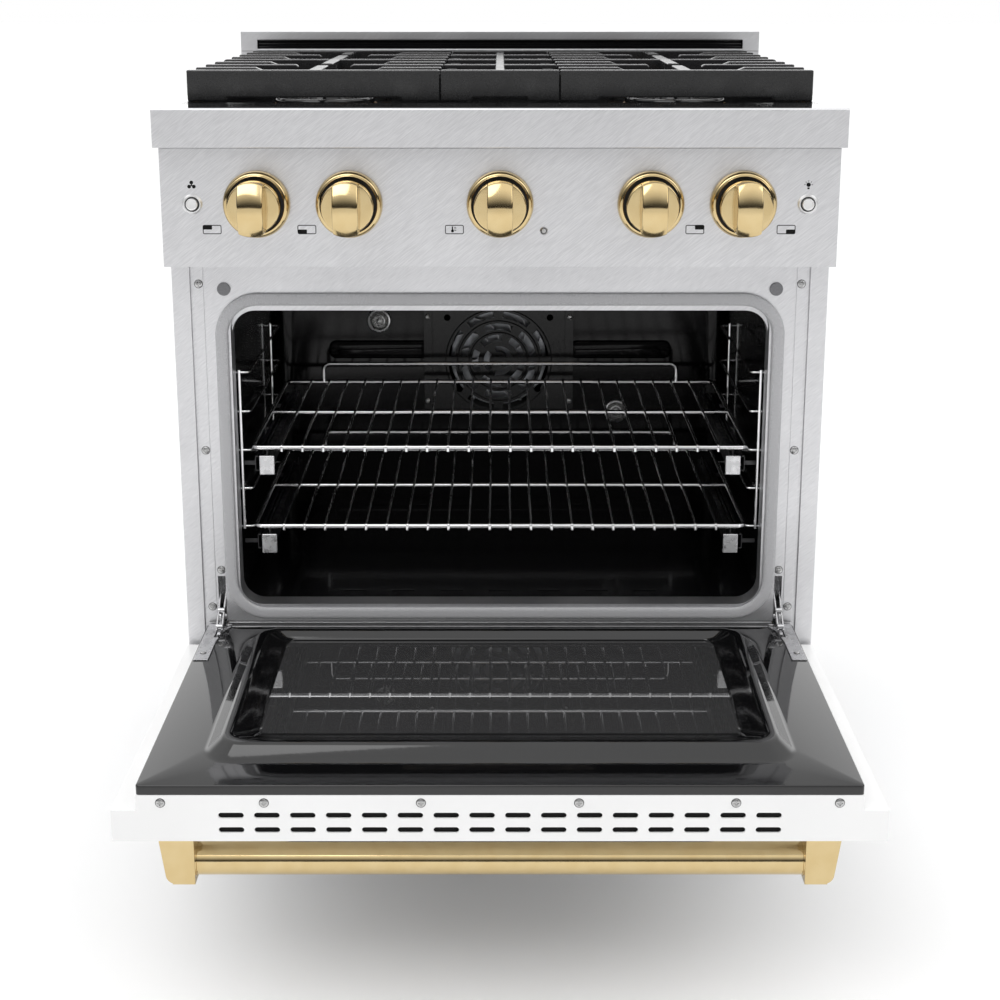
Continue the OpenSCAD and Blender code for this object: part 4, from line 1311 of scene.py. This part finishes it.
def make_world():
    """A studio whose front wall is dark at eye level, for metal to mirror, and a plain camera backdrop."""
    world = bpy.data.worlds.new("studio")
    bpy.context.scene.world = world
    world.use_nodes = True
    tree = world.node_tree
    place = tree.nodes.new("ShaderNodeTexCoord")
    parts = tree.nodes.new("ShaderNodeSeparateXYZ")
    tree.links.new(place.outputs["Generated"], parts.inputs["Vector"])
    front = wall(tree, parts, ((0.0, 0.8), (0.49, 0.8), (0.5, 0.02), (0.54, 0.04), (0.58, 0.14),
                               (0.64, 0.4), (0.72, 0.85), (0.82, 1.3)))
    back = wall(tree, parts, ((0.0, 0.9), (0.5, 1.0), (0.53, 1.6), (0.62, 1.8), (0.72, 1.1)))
    behind = tree.nodes.new("ShaderNodeMapRange")
    behind.inputs["From Min"].default_value = 0.1
    behind.inputs["From Max"].default_value = 0.7
    tree.links.new(parts.outputs["Y"], behind.inputs["Value"])
    room = mix_colors(tree, behind.outputs["Result"], front)
    tree.links.new(back, room.inputs["B"])
    path = tree.nodes.new("ShaderNodeLightPath")
    seen = mix_colors(tree, path.outputs["Is Camera Ray"], room.outputs["Result"])
    seen.inputs["B"].default_value = (BACKDROP, BACKDROP, BACKDROP, 1)
    tree.links.new(seen.outputs["Result"], tree.nodes["Background"].inputs["Color"])


def wall(tree, parts, levels):
    """The light on one wall of the studio, as levels from straight down (0) to straight up (1)."""
    height = tree.nodes.new("ShaderNodeMapRange")
    height.inputs["From Min"].default_value = -1
    tree.links.new(parts.outputs["Z"], height.inputs["Value"])
    ramp = tree.nodes.new("ShaderNodeValToRGB")
    stops = ramp.color_ramp.elements
    stops.remove(stops[1])
    for i, (position, level) in enumerate(levels):
        stop = stops.new(position) if i else stops[0]
        stop.position = position
        stop.color = (level, level, level, 1)
    tree.links.new(height.outputs["Result"], ramp.inputs["Fac"])
    return ramp.outputs["Color"]


def mix_colors(tree, factor, first):
    mix = tree.nodes.new("ShaderNodeMix")
    mix.data_type = "RGBA"
    tree.links.new(factor, mix.inputs["Factor"])
    tree.links.new(first, mix.inputs["A"])
    return mix


def make_camera():
    """In front of the range, a little above the cooktop and looking down at it."""
    lens = bpy.data.cameras.new("camera")
    lens.sensor_width = 36
    lens.lens = 60.6
    lens.shift_y = -0.10
    lens.clip_end = 100
    camera = bpy.data.objects.new("camera", lens)
    camera.location = (0, FRONT - 1.923, 1.050)
    camera.rotation_euler = (math.radians(90 - 14.03), 0, 0)
    bpy.context.scene.collection.objects.link(camera)
    bpy.context.scene.camera = camera


make_floor()
make_world()
make_light("key", (-1.4, -2.4, 3.4), (0, 0, 0.6), (3.0, 2.0), 40)
make_light("fill", (2.6, -2.0, 2.4), (0, 0, 0.6), (2.0, 2.0), 18)
make_camera()
bpy.context.scene.view_settings.view_transform = "Standard"
